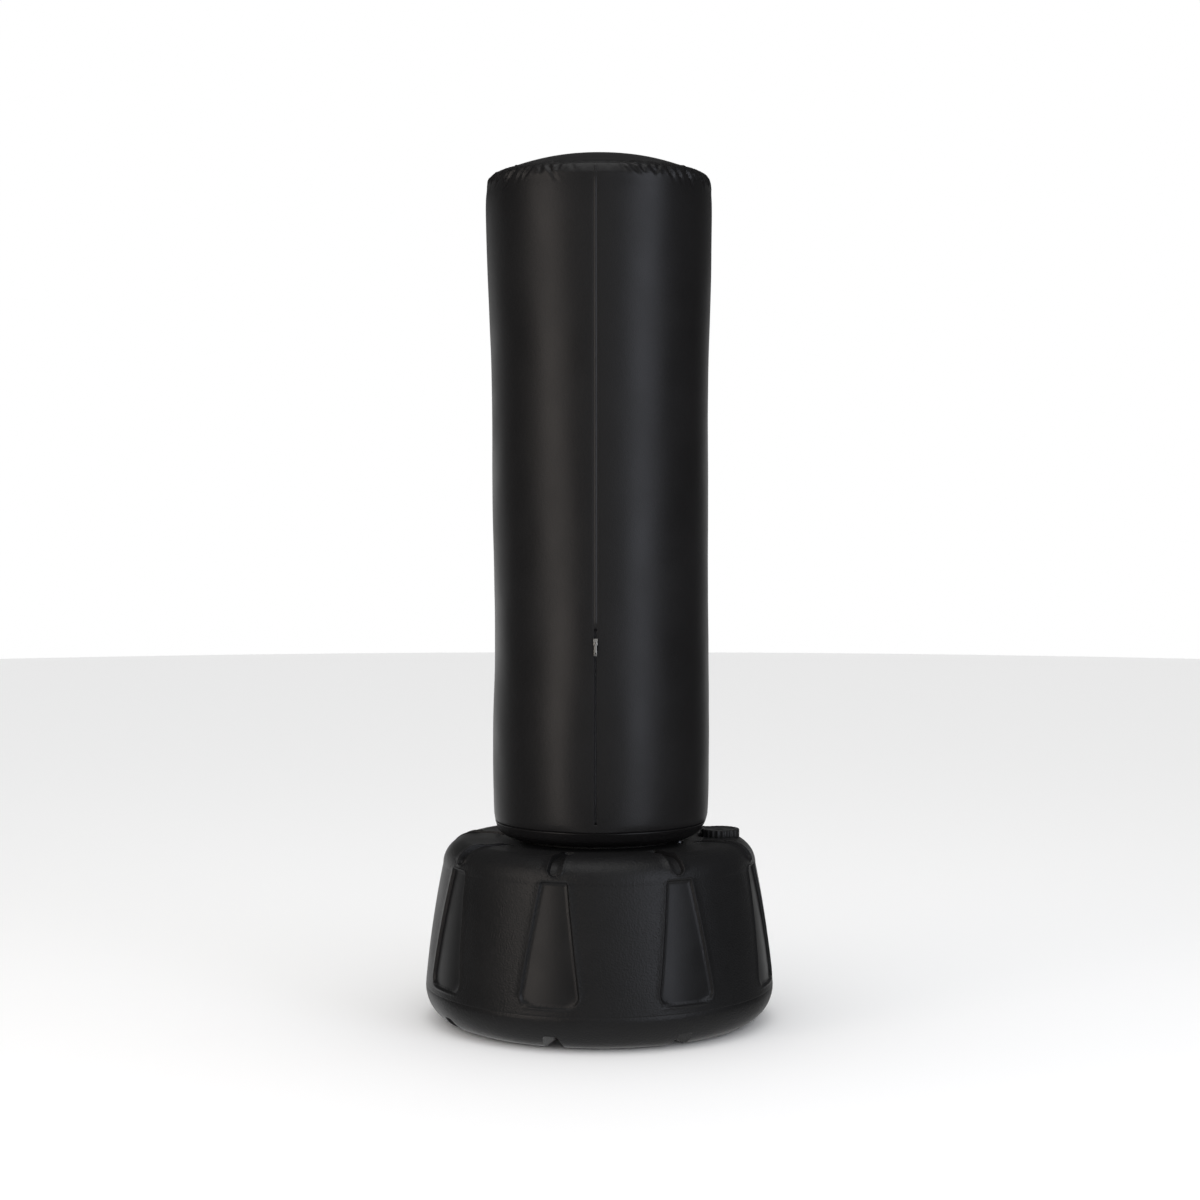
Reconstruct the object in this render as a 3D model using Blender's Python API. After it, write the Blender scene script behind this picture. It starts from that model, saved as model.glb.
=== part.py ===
"""A free-standing heavy punching bag, in metres, +Z up.

The origin is the centre of the underside of the base, on the floor. The zip of the cover faces -Y.
Angles about the bag's axis are measured from -Y towards +X.
"""

import math

import bmesh
import bpy
from mathutils import Matrix, Vector

GAP = 0.0003

# Base tank: a rotationally moulded shell with eight panels, grooves and foot channels.
FEATURES = 8
FEATURE_ANGLE = math.radians(-14)
FEATURE_STEP = math.tau / FEATURES
BASE_SEGMENTS = 48
CAVITY_SEGMENTS = 32
FOOT_RADIUS = 0.290
BELLY_RADIUS = 0.3553
BELLY_HEIGHT = 0.070
WALL_TOP_HEIGHT = 0.316
WALL_LEAN = 0.0214
WALL_BULGE = 0.0154
SHOULDER_RADIUS = 0.268
PLATEAU_HEIGHT = 0.367
RECESS_RADIUS = 0.208
RECESS_SLOPE = 0.006
RECESS_HEIGHT = 0.3645
TANK_WALL = 0.012
PANEL_DEPTH = 0.006
PANEL_BOTTOM_HEIGHT = 0.092
PANEL_TOP_HEIGHT = 0.322
PANEL_BOTTOM_WIDTH = 0.120
PANEL_TOP_WIDTH = 0.051
GROOVE_DEPTH = 0.009
GROOVE_WIDTH = 0.028
GROOVE_START_RADIUS = 0.200
CHANNEL_HEIGHT = 0.030
CHANNEL_TOP_WIDTH = 0.028
CHANNEL_BOTTOM_WIDTH = 0.044
CHANNEL_START_RADIUS = 0.235

# Neck thread between the base and the bag.
NECK_RADIUS = 0.104
NECK_TOP_HEIGHT = 0.468
NECK_CHAMFER = 0.006
NECK_PITCH = 0.025
NECK_RIDGE = 0.0055
NECK_RIDGE_ROOT = 0.008
NECK_RIDGE_CREST = 0.004
NECK_THREAD_START = 0.386
NECK_THREAD_TURNS = 2.4
WASHER_INNER_RADIUS = 0.1125
WASHER_OUTER_RADIUS = 0.160
WASHER_THICKNESS = 0.004

# Fill opening and its screw cap, on the land half way between two grooves.
FILL_ANGLE = FEATURE_ANGLE + 2.5 * FEATURE_STEP
FILL_RADIUS_FROM_AXIS = 0.250
FILL_HOLE_RADIUS = 0.0295
SEAT_RADIUS = 0.0465
SEAT_HEIGHT = 0.360
GASKET_THICKNESS = 0.0018
CAP_RADIUS = 0.040
CAP_TOP_HEIGHT = 0.3805
CAP_EDGE_BEVEL = 0.0018
CAP_RIBS = 22
CAP_RIB_DEPTH = 0.0016
CAP_PLUG_RADIUS = 0.0265
CAP_PLUG_LENGTH = 0.020
CAP_PITCH = 0.004
CAP_RIDGE = 0.0015
CAP_RIDGE_ROOT = 0.0018
CAP_RIDGE_CREST = 0.0010
CAP_TURNS = 2.2

# Vent screw in the recess beside the neck.
VENT_ANGLE = math.radians(67.5)
VENT_RADIUS_FROM_AXIS = 0.1765
VENT_HEAD_RADIUS = 0.0055
VENT_HEAD_THICKNESS = 0.003
VENT_SHANK_RADIUS = 0.0024
VENT_SHANK_LENGTH = 0.008
VENT_SEAL_THICKNESS = 0.0012

# Core of the bag.
BAG_SEGMENTS = 40
CORE_RADIUS = 0.125
CORE_WALL = 0.006
CORE_BOTTOM_HEIGHT = 0.3745
CORE_TOP_HEIGHT = 1.688
SOCKET_RADIUS = 0.1187
SOCKET_BORE_RADIUS = 0.1125
SOCKET_FLANGE_RADIUS = 0.160
SOCKET_FLANGE_THICKNESS = 0.005
SOCKET_TOP_HEIGHT = 0.448
SOCKET_THREAD_START = 0.3975
SOCKET_THREAD_TURNS = 1.7
SCREW_COUNT = 6
SCREW_HEIGHT = 0.438
SCREW_HEAD_RADIUS = 0.0055
SCREW_HEAD_THICKNESS = 0.0025
SCREW_SHANK_RADIUS = 0.0022
SCREW_SHANK_LENGTH = 0.0105
SCREW_HOLE_CLEARANCE = 0.0004
PLUG_FLANGE_THICKNESS = 0.004
PLUG_SKIRT_DEPTH = 0.040
PLUG_SKIRT_WALL = 0.005

# Foam and cover. The outer profile of the cover is (radius, height), bottom to top.
COVER_WALL = 0.0018
FOAM_CLEARANCE = 0.0045
FOAM_RELIEF_RADIUS = 0.130
FOAM_RELIEF_HEIGHT = 0.450
HEM_RADIUS = 0.181
HEM_HEIGHT = 0.3715
COVER_BOTTOM = [(0.2055, 0.384), (0.2115, 0.394)]
COVER_SIDE = [
    (0.2155, 0.403),
    (0.2185, 0.418),
    (0.2185, 1.050),
    (0.2195, 1.260),
    (0.2240, 1.421),
    (0.2285, 1.600),
    (0.2290, 1.662),
    (0.2260, 1.687),
]
TOP_SEAM = (0.2175, 1.707)
DOME_HEIGHT = 1.753
DOME_POINTS = 6
DOME_FULLNESS = 2.3
DRAWCORD_RADIUS = 0.0020

# Zip at the front of the cover.
ZIP_TOP_HEIGHT = 0.800
ZIP_BOTTOM_HEIGHT = 0.425
ZIP_SLOT_WIDTH = 0.0066
TAPE_WIDTH = 0.014
TAPE_THICKNESS = 0.0008
COIL_WIDTH = 0.0025
COIL_THICKNESS = 0.0020
STOP_HEIGHT = 0.004
SLIDER_HEIGHT = 0.779
SLIDER_SIZE = (0.0095, 0.0022, 0.013)
PULL_HINGE_HEIGHT = 0.780
PULL_HINGE_OFFSET = 0.0025
PULL_LENGTH = 0.028
PULL_WIDTH = 0.0055
PULL_EYE = 0.0016
PULL_THICKNESS = 0.0014
PULL_BORE_RADIUS = 0.0009
BRIDGE_RADIUS = 0.0005


def clear_scene():
    for obj in list(bpy.data.objects):
        bpy.data.objects.remove(obj, do_unlink=True)


def new_collection(name):
    collection = bpy.data.collections.new(name)
    bpy.context.scene.collection.children.link(collection)
    return collection


def plain_material(name, colour, roughness, metallic=0.0):
    material = bpy.data.materials.new(name)
    material.use_nodes = True
    shader = material.node_tree.nodes["Principled BSDF"]
    shader.inputs["Base Color"].default_value = (*colour, 1.0)
    shader.inputs["Roughness"].default_value = roughness
    shader.inputs["Metallic"].default_value = metallic
    return material


clear_scene()
PARTS = new_collection("free_standing_punching_bag")
CUTTERS = new_collection("cutters")

POLYETHYLENE = plain_material("black_polyethylene", (0.012, 0.012, 0.013), 0.45)
VINYL = plain_material("black_vinyl", (0.010, 0.010, 0.011), 0.38)
FOAM = plain_material("grey_foam", (0.20, 0.20, 0.21), 0.95)
CORE_PLASTIC = plain_material("core_polyethylene", (0.05, 0.05, 0.055), 0.50)
RUBBER = plain_material("black_rubber", (0.015, 0.015, 0.015), 0.80)
STEEL = plain_material("zinc_plated_steel", (0.62, 0.63, 0.65), 0.35, 1.0)
TAPE = plain_material("woven_tape", (0.012, 0.012, 0.013), 0.85)
WATER = plain_material("ballast", (0.35, 0.42, 0.46), 0.25)


def place_mesh(mesh, name, material, collection=None, smooth_angle=math.radians(35)):
    """Puts a finished mesh in the scene as an object of its own."""
    obj = bpy.data.objects.new(name, mesh)
    (collection or PARTS).objects.link(obj)
    mesh.materials.append(material)
    mesh.shade_smooth()
    mesh.set_sharp_from_angle(angle=smooth_angle)
    return obj


def mesh_from(bm, name):
    bmesh.ops.recalc_face_normals(bm, faces=bm.faces)
    mesh = bpy.data.meshes.new(name)
    bm.to_mesh(mesh)
    bm.free()
    return mesh


def turned(name, outline, material, segments=BAG_SEGMENTS, collection=None, centre=(0, 0)):
    """A solid turned about a vertical axis from a closed outline of (radius, height) points."""
    bm = bmesh.new()
    verts = [bm.verts.new((radius, 0, height)) for radius, height in outline]
    edges = [bm.edges.new((a, b)) for a, b in zip(verts, verts[1:])]
    if outline[0][0] > 0 or outline[-1][0] > 0:
        edges.append(bm.edges.new((verts[-1], verts[0])))
    bmesh.ops.spin(
        bm, geom=verts + edges, axis=(0, 0, 1), cent=(0, 0, 0),
        angle=math.tau, steps=segments, use_merge=True,
    )
    bmesh.ops.remove_doubles(bm, verts=bm.verts, dist=1e-6)
    bmesh.ops.translate(bm, verts=bm.verts, vec=(*centre, 0))
    return place_mesh(mesh_from(bm, name), name, material, collection)


def helical_ridge(name, radius, tip_radius, root, crest, start_height, pitch, turns, segments):
    """A thread ridge: a trapezoid swept up a helix. The root sits a little inside its wall."""
    bm = bmesh.new()
    corners = (
        (radius, -root / 2), (tip_radius, -crest / 2), (tip_radius, crest / 2), (radius, root / 2),
    )
    face = bm.faces.new([bm.verts.new((r, 0, start_height + z)) for r, z in corners])
    steps = round(segments * turns)
    bmesh.ops.spin(
        bm, geom=[face, *face.edges, *face.verts], axis=(0, 0, 1), cent=(0, 0, 0),
        dvec=(0, 0, pitch * turns / steps), angle=math.tau * turns, steps=steps,
    )
    return place_mesh(mesh_from(bm, name), name, CORE_PLASTIC, CUTTERS)


def as_cutter(obj):
    obj.hide_render = True
    obj.display_type = "WIRE"
    return obj


def combine(target, other, operation="DIFFERENCE"):
    as_cutter(other)
    modifier = target.modifiers.new(f"{operation.lower()}_{other.name}", "BOOLEAN")
    modifier.operation = operation
    modifier.object = other
    modifier.solver = "EXACT"


def around(angle, radius, height=0.0):
    """The point at an angle from -Y towards +X, at a radius from the axis."""
    return Vector((radius * math.sin(angle), -radius * math.cos(angle), height))


def facing(angle):
    """Turns -Y to the given angle about the bag's axis."""
    return Matrix.Rotation(angle, 4, "Z")


def loft(name, rings, collection=None, material=POLYETHYLENE):
    """A closed solid through rings of points, each ring a closed loop with as many points."""
    bm = bmesh.new()
    loops = [[bm.verts.new(point) for point in ring] for ring in rings]
    for low, high in zip(loops, loops[1:]):
        for i in range(len(low)):
            j = (i + 1) % len(low)
            bm.faces.new((low[i], low[j], high[j], high[i]))
    bm.faces.new(loops[0][::-1])
    bm.faces.new(loops[-1])
    return place_mesh(mesh_from(bm, name), name, material, collection)


def box(name, size, centre, material, collection=None):
    bm = bmesh.new()
    bmesh.ops.create_cube(bm, size=1.0)
    bmesh.ops.scale(bm, vec=size, verts=bm.verts)
    bmesh.ops.translate(bm, vec=centre, verts=bm.verts)
    return place_mesh(mesh_from(bm, name), name, material, collection)


def rod(name, radius, length, segments, matrix, material, collection=None):
    """A cylinder whose axis starts along Z and whose middle is at the matrix's place."""
    bm = bmesh.new()
    bmesh.ops.create_cone(
        bm, cap_ends=True, segments=segments, radius1=radius, radius2=radius, depth=length, matrix=matrix
    )
    return place_mesh(mesh_from(bm, name), name, material, collection)


def wall_radius(height):
    """The outside of the base between its belly and its shoulder."""
    up = (height - BELLY_HEIGHT) / 0.25
    return BELLY_RADIUS - WALL_LEAN * up - WALL_BULGE * up * up


def base_outline():
    """The outside of the base from the edge of the foot to the edge of the recess."""
    points = []
    corner_steps = 5
    for i in range(corner_steps + 1):
        turn = math.pi / 2 * i / corner_steps
        radius = FOOT_RADIUS + (BELLY_RADIUS - FOOT_RADIUS) * math.sin(turn)
        points.append((radius, BELLY_HEIGHT * (1 - math.cos(turn))))
    wall_steps = 4
    for i in range(1, wall_steps + 1):
        height = BELLY_HEIGHT + (WALL_TOP_HEIGHT - BELLY_HEIGHT) * i / wall_steps
        points.append((wall_radius(height), height))
    across = wall_radius(WALL_TOP_HEIGHT) - SHOULDER_RADIUS
    shoulder_steps = 4
    for i in range(1, shoulder_steps + 1):
        turn = math.pi / 2 * i / shoulder_steps
        radius = SHOULDER_RADIUS + across * math.cos(turn)
        height = WALL_TOP_HEIGHT + (PLATEAU_HEIGHT - WALL_TOP_HEIGHT) * math.sin(turn)
        points.append((radius, height))
    points.append((RECESS_RADIUS + RECESS_SLOPE, PLATEAU_HEIGHT))
    points.append((RECESS_RADIUS, RECESS_HEIGHT))
    return points


def inner_outline(inset):
    """The inside of the tank, from the middle of its floor up to the top of its neck."""
    floor_height = CHANNEL_HEIGHT + inset
    points = [(0, floor_height)]
    for radius, height in base_outline():
        if floor_height < height < WALL_TOP_HEIGHT + 0.02:
            points.append((radius - inset - 0.004, height))
    points.insert(1, (points[1][0] - 0.012, floor_height))
    points.append((SHOULDER_RADIUS - 0.004, PLATEAU_HEIGHT - GROOVE_DEPTH - inset))
    points.append((NECK_RADIUS - inset + 0.004, PLATEAU_HEIGHT - GROOVE_DEPTH - inset))
    points.append((NECK_RADIUS - inset + 0.004, NECK_TOP_HEIGHT - inset))
    points.append((0, NECK_TOP_HEIGHT - inset))
    return points


def panel_cutter(index):
    """A recessed trapezoid with rounded lower corners, sunk into the wall of the base."""
    corner = 0.016
    outline = [
        (-PANEL_TOP_WIDTH / 2, PANEL_TOP_HEIGHT),
        (PANEL_TOP_WIDTH / 2, PANEL_TOP_HEIGHT),
        (PANEL_BOTTOM_WIDTH / 2, PANEL_BOTTOM_HEIGHT + corner),
        (PANEL_BOTTOM_WIDTH / 2 - corner, PANEL_BOTTOM_HEIGHT),
        (-PANEL_BOTTOM_WIDTH / 2 + corner, PANEL_BOTTOM_HEIGHT),
        (-PANEL_BOTTOM_WIDTH / 2, PANEL_BOTTOM_HEIGHT + corner),
    ]
    rings = []
    for side in (-PANEL_DEPTH, 0.05):
        rings.append([(x, -(wall_radius(z) + side), z) for x, z in outline])
    cutter = loft(f"panel_cutter_{index}", rings, CUTTERS)
    cutter.matrix_world = facing(FEATURE_ANGLE + index * FEATURE_STEP)
    return cutter


def groove_cutter(index):
    """A U-shaped groove that runs from the recess out over the shoulder."""
    route = [
        (GROOVE_START_RADIUS, PLATEAU_HEIGHT - GROOVE_DEPTH),
        (0.262, PLATEAU_HEIGHT - GROOVE_DEPTH),
        (0.288, PLATEAU_HEIGHT - GROOVE_DEPTH - 0.006),
        (0.304, PLATEAU_HEIGHT - GROOVE_DEPTH - 0.020),
        (0.318, WALL_TOP_HEIGHT + 0.012),
        (0.335, WALL_TOP_HEIGHT + 0.002),
    ]
    rings = []
    for radius, height in route:
        half = GROOVE_WIDTH / 2
        rings.append([
            (-half * 0.55, -radius, height), (half * 0.55, -radius, height), (half, -radius, height + 0.005),
            (half, -radius, height + 0.06), (-half, -radius, height + 0.06), (-half, -radius, height + 0.005),
        ])
    cutter = loft(f"groove_cutter_{index}", rings, CUTTERS)
    cutter.matrix_world = facing(FEATURE_ANGLE + index * FEATURE_STEP)
    return cutter


def channel_cutter(index):
    """A channel between two feet, open at the rim and at the floor."""
    low = -0.01
    widen = CHANNEL_BOTTOM_WIDTH + (CHANNEL_BOTTOM_WIDTH - CHANNEL_TOP_WIDTH) * -low / CHANNEL_HEIGHT
    rings = []
    for radius in (CHANNEL_START_RADIUS, BELLY_RADIUS + 0.02):
        rings.append([
            (-widen / 2, -radius, low), (widen / 2, -radius, low),
            (CHANNEL_TOP_WIDTH / 2, -radius, CHANNEL_HEIGHT), (-CHANNEL_TOP_WIDTH / 2, -radius, CHANNEL_HEIGHT),
        ])
    cutter = loft(f"channel_cutter_{index}", rings, CUTTERS)
    cutter.matrix_world = facing(FEATURE_ANGLE + index * FEATURE_STEP)
    return cutter


def make_base_tank():
    neck = [
        (NECK_RADIUS, RECESS_HEIGHT),
        (NECK_RADIUS, NECK_TOP_HEIGHT - NECK_CHAMFER),
        (NECK_RADIUS - NECK_CHAMFER, NECK_TOP_HEIGHT),
        (0, NECK_TOP_HEIGHT),
    ]
    tank = turned("base_tank", [(0, 0), *base_outline(), *neck], POLYETHYLENE, BASE_SEGMENTS)
    ridge = helical_ridge(
        "neck_ridge", NECK_RADIUS - 0.002, NECK_RADIUS + NECK_RIDGE, NECK_RIDGE_ROOT, NECK_RIDGE_CREST,
        NECK_THREAD_START, NECK_PITCH, NECK_THREAD_TURNS, 24,
    )
    combine(tank, ridge, "UNION")
    for index in range(FEATURES):
        combine(tank, panel_cutter(index))
        combine(tank, groove_cutter(index))
        combine(tank, channel_cutter(index))
    cavity = turned("tank_cavity", inner_outline(TANK_WALL), WATER, CAVITY_SEGMENTS, CUTTERS)
    combine(tank, cavity)
    fill = around(FILL_ANGLE, FILL_RADIUS_FROM_AXIS, PLATEAU_HEIGHT)
    hole = rod("fill_hole", FILL_HOLE_RADIUS, 0.08, 32, Matrix.Translation(fill), WATER, CUTTERS)
    combine(tank, hole)
    seat_depth = 0.04
    seat_place = around(FILL_ANGLE, FILL_RADIUS_FROM_AXIS, SEAT_HEIGHT + seat_depth / 2)
    seat = rod("cap_seat", SEAT_RADIUS, seat_depth, 32, Matrix.Translation(seat_place), WATER, CUTTERS)
    combine(tank, seat)
    vent = around(VENT_ANGLE, VENT_RADIUS_FROM_AXIS, RECESS_HEIGHT)
    vent_hole = rod(
        "vent_hole", VENT_SHANK_RADIUS + SCREW_HOLE_CLEARANCE, 0.06, 12, Matrix.Translation(vent), WATER, CUTTERS
    )
    combine(tank, vent_hole)
    return tank


def make_ballast():
    """The water or sand that fills the tank, kept clear of the cap's plug and the vent screw."""
    outline = inner_outline(TANK_WALL + 0.0006)
    top = SEAT_HEIGHT - CAP_PLUG_LENGTH - 0.005
    outline = [(radius, min(height, top) if radius > NECK_RADIUS else height) for radius, height in outline]
    return turned("ballast_fill", outline, WATER, CAVITY_SEGMENTS)


def make_cap():
    """A knurled screw cap with a threaded plug, on its own axis."""
    place = around(FILL_ANGLE, FILL_RADIUS_FROM_AXIS)
    rim_points = []
    for i in range(CAP_RIBS * 4):
        turn = math.tau * i / (CAP_RIBS * 4)
        radius = CAP_RADIUS - (CAP_RIB_DEPTH if i % 4 in (0, 1) else 0)
        rim_points.append((radius * math.cos(turn), radius * math.sin(turn)))
    under = SEAT_HEIGHT + GASKET_THICKNESS + 2 * GAP
    rings = []
    for height, inset in ((under, 0), (CAP_TOP_HEIGHT - CAP_EDGE_BEVEL, 0), (CAP_TOP_HEIGHT, CAP_EDGE_BEVEL)):
        keep = 1 - inset / CAP_RADIUS
        rings.append([(x * keep, y * keep, height) for x, y in rim_points])
    cap = loft("fill_cap", rings)
    middle = under - CAP_PLUG_LENGTH / 2 + 0.001
    plug_place = Matrix.Translation((0, 0, middle))
    plug = rod("cap_plug", CAP_PLUG_RADIUS, CAP_PLUG_LENGTH, 32, plug_place, WATER, CUTTERS)
    combine(cap, plug, "UNION")
    ridge = helical_ridge(
        "cap_ridge", CAP_PLUG_RADIUS - 0.001, CAP_PLUG_RADIUS + CAP_RIDGE, CAP_RIDGE_ROOT, CAP_RIDGE_CREST,
        under - CAP_PLUG_LENGTH + 0.003, CAP_PITCH, CAP_TURNS, 22,
    )
    combine(cap, ridge, "UNION")
    for obj in (cap, plug, ridge):
        obj.location = place
    return cap


def ring_outline(inner, outer, low, high):
    return [(inner, low), (outer, low), (outer, high), (inner, high)]


def make_cap_gasket():
    place = around(FILL_ANGLE, FILL_RADIUS_FROM_AXIS)
    low = SEAT_HEIGHT + GAP
    outline = ring_outline(FILL_HOLE_RADIUS + 0.001, CAP_RADIUS - 0.004, low, low + GASKET_THICKNESS)
    return turned("cap_gasket", outline, RUBBER, 28, centre=place.xy)


def make_vent_screw():
    place = around(VENT_ANGLE, VENT_RADIUS_FROM_AXIS)
    seal_low = RECESS_HEIGHT + GAP
    seal_high = seal_low + VENT_SEAL_THICKNESS
    seal = ring_outline(VENT_SHANK_RADIUS + GAP, VENT_HEAD_RADIUS, seal_low, seal_high)
    turned("vent_seal", seal, RUBBER, 20, centre=place.xy)
    head_low = seal_high + GAP
    head_top = head_low + VENT_HEAD_THICKNESS
    outline = [
        (0, head_low - VENT_SHANK_LENGTH), (VENT_SHANK_RADIUS, head_low - VENT_SHANK_LENGTH),
        (VENT_SHANK_RADIUS, head_low), (VENT_HEAD_RADIUS, head_low), (VENT_HEAD_RADIUS, head_low + 0.001),
        (VENT_HEAD_RADIUS * 0.75, head_top - 0.0006), (VENT_HEAD_RADIUS * 0.4, head_top), (0, head_top),
    ]
    turned("vent_screw", outline, STEEL, 20, centre=place.xy)


def make_neck_washer():
    low = RECESS_HEIGHT + GAP
    outline = ring_outline(WASHER_INNER_RADIUS, WASHER_OUTER_RADIUS, low, low + WASHER_THICKNESS)
    return turned("neck_washer", outline, RUBBER)


def screw_place(index):
    """The matrix of a radial screw: its axis, local Z, points out of the core."""
    angle = math.tau * (index + 0.5) / SCREW_COUNT
    outward = around(angle, 1.0)
    turn = outward.to_track_quat("Z", "Y").to_matrix().to_4x4()
    return Matrix.Translation(around(angle, CORE_RADIUS, SCREW_HEIGHT)) @ turn


def screw_hole(name, index):
    radius = SCREW_SHANK_RADIUS + SCREW_HOLE_CLEARANCE
    return rod(name, radius, 0.04, 12, screw_place(index), WATER, CUTTERS)


def make_core():
    bore = CORE_RADIUS - CORE_WALL
    tube = turned("core_tube", ring_outline(bore, CORE_RADIUS, CORE_BOTTOM_HEIGHT, CORE_TOP_HEIGHT), CORE_PLASTIC)
    flange_low = RECESS_HEIGHT + WASHER_THICKNESS + 2 * GAP
    flange_high = flange_low + SOCKET_FLANGE_THICKNESS
    outline = [
        (SOCKET_BORE_RADIUS, flange_low), (SOCKET_FLANGE_RADIUS, flange_low),
        (SOCKET_FLANGE_RADIUS, flange_high), (SOCKET_RADIUS, flange_high),
        (SOCKET_RADIUS, SOCKET_TOP_HEIGHT), (SOCKET_BORE_RADIUS, SOCKET_TOP_HEIGHT),
    ]
    socket = turned("core_socket", outline, CORE_PLASTIC)
    ridge = helical_ridge(
        "socket_ridge", SOCKET_BORE_RADIUS + 0.002, SOCKET_BORE_RADIUS - NECK_RIDGE, NECK_RIDGE_ROOT,
        NECK_RIDGE_CREST, SOCKET_THREAD_START, NECK_PITCH, SOCKET_THREAD_TURNS, 24,
    )
    combine(socket, ridge, "UNION")
    for index in range(SCREW_COUNT):
        combine(tube, screw_hole(f"tube_hole_{index}", index))
        combine(socket, screw_hole(f"socket_hole_{index}", index))
        make_socket_screw(index)
    skirt = bore - GAP
    low = CORE_TOP_HEIGHT - PLUG_SKIRT_DEPTH
    plug_low = CORE_TOP_HEIGHT + GAP
    plug_high = plug_low + PLUG_FLANGE_THICKNESS
    outline = [
        (0, plug_low), (skirt - PLUG_SKIRT_WALL, plug_low), (skirt - PLUG_SKIRT_WALL, low), (skirt, low),
        (skirt, plug_low), (CORE_RADIUS, plug_low), (CORE_RADIUS, plug_high), (0, plug_high),
    ]
    turned("core_top_plug", outline, CORE_PLASTIC)


def make_socket_screw(index):
    outline = [
        (0, -SCREW_SHANK_LENGTH), (SCREW_SHANK_RADIUS, -SCREW_SHANK_LENGTH), (SCREW_SHANK_RADIUS, GAP),
        (SCREW_HEAD_RADIUS, GAP), (SCREW_HEAD_RADIUS * 0.8, SCREW_HEAD_THICKNESS), (0, SCREW_HEAD_THICKNESS),
    ]
    screw = turned(f"socket_screw_{index + 1}", outline, STEEL, 14)
    screw.matrix_world = screw_place(index)
    return screw


def dome_outline():
    """The crowned top of the bag, from the seam to the middle."""
    seam_radius, seam_height = TOP_SEAM
    points = []
    for i in range(DOME_POINTS + 1):
        radius = seam_radius * (1 - i / DOME_POINTS)
        rise = (1 - (radius / seam_radius) ** DOME_FULLNESS) * (DOME_HEIGHT - seam_height)
        points.append((radius, seam_height + rise))
    return points


def cover_outline():
    """The outside of the cover: in from the hem, up the side and over the dome to the middle."""
    return [(HEM_RADIUS, HEM_HEIGHT), *COVER_BOTTOM, *COVER_SIDE, *dome_outline()]


def set_in(outline, distance):
    """The same outline, that far inside. The first and last points keep to the hem and the axis."""
    inside = []
    for i, point in enumerate(outline):
        before = Vector(outline[max(i - 1, 0)])
        after = Vector(outline[min(i + 1, len(outline) - 1)])
        along = (after - before).normalized()
        radius, height = Vector(point) + distance * Vector((-along.y, along.x))
        inside.append((radius, height))
    inside[-1] = (0, outline[-1][1] - distance)
    return inside


def shortened(line, at_start, at_end):
    """A run of points with a little taken off either end."""
    points = [Vector(point) for point in line]
    points[0] += at_start * (points[1] - points[0]).normalized()
    points[-1] += at_end * (points[-2] - points[-1]).normalized()
    return [tuple(point) for point in points]


def cover_piece(name, first, last, at_start, at_end):
    """The part of the cover between two points of its outline, as a sheet of even thickness."""
    outside = cover_outline()
    inside = set_in(outside, COVER_WALL)
    outside = shortened(outside[first:last + 1], at_start, at_end)
    inside = shortened(inside[first:last + 1], at_start, at_end)
    return turned(name, inside[::-1] + outside if at_end else inside + outside[::-1], VINYL)


def make_cover():
    side_start = 1 + len(COVER_BOTTOM)
    seam = side_start + len(COVER_SIDE)
    cover_piece("cover_bottom", 0, side_start, 0.0, GAP)
    cover = cover_piece("cover_side", side_start, seam, GAP, GAP)
    cover_piece("cover_top", seam, seam + DOME_POINTS, GAP, 0.0)
    slot = box(
        "zip_slot", (ZIP_SLOT_WIDTH, 0.06, ZIP_TOP_HEIGHT - ZIP_BOTTOM_HEIGHT + 2 * STOP_HEIGHT),
        (0, -COVER_SIDE[1][0], (ZIP_TOP_HEIGHT + ZIP_BOTTOM_HEIGHT) / 2), VINYL, CUTTERS,
    )
    combine(cover, slot)


def make_drawcord():
    radius = HEM_RADIUS + 0.006
    height = HEM_HEIGHT + 0.0085
    bm = bmesh.new()
    bmesh.ops.create_circle(
        bm, segments=8, radius=DRAWCORD_RADIUS,
        matrix=Matrix.Translation((radius, 0, height)) @ Matrix.Rotation(math.pi / 2, 4, "X"),
    )
    bmesh.ops.spin(
        bm, geom=[*bm.verts, *bm.edges], axis=(0, 0, 1), cent=(0, 0, 0),
        angle=math.tau, steps=BAG_SEGMENTS, use_merge=True,
    )
    bmesh.ops.remove_doubles(bm, verts=bm.verts, dist=1e-6)
    place_mesh(mesh_from(bm, "hem_drawcord"), "hem_drawcord", TAPE)


def make_foam():
    """The sleeve is relieved over the socket's screws, and the pad fills the crown above it."""
    outer = set_in(cover_outline(), FOAM_CLEARANCE)
    seam = len(outer) - 1 - DOME_POINTS
    top_height = CORE_TOP_HEIGHT + GAP + PLUG_FLANGE_THICKNESS
    side = [point for point in outer[:seam] if HEM_HEIGHT + 0.02 < point[1] < top_height]
    bottom = side[0][1] - 0.004
    fitted = CORE_RADIUS + GAP
    sleeve = [
        (FOAM_RELIEF_RADIUS, bottom), (side[0][0] - 0.006, bottom), *side, (side[-1][0] - 0.002, top_height),
        (fitted, top_height), (fitted, FOAM_RELIEF_HEIGHT + 0.005), (FOAM_RELIEF_RADIUS, FOAM_RELIEF_HEIGHT),
    ]
    turned("foam_sleeve", sleeve, FOAM)
    pad_low = top_height + GAP
    dome = outer[seam:]
    turned("foam_top_pad", [(0, pad_low), (dome[0][0], pad_low), *dome], FOAM)


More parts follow.
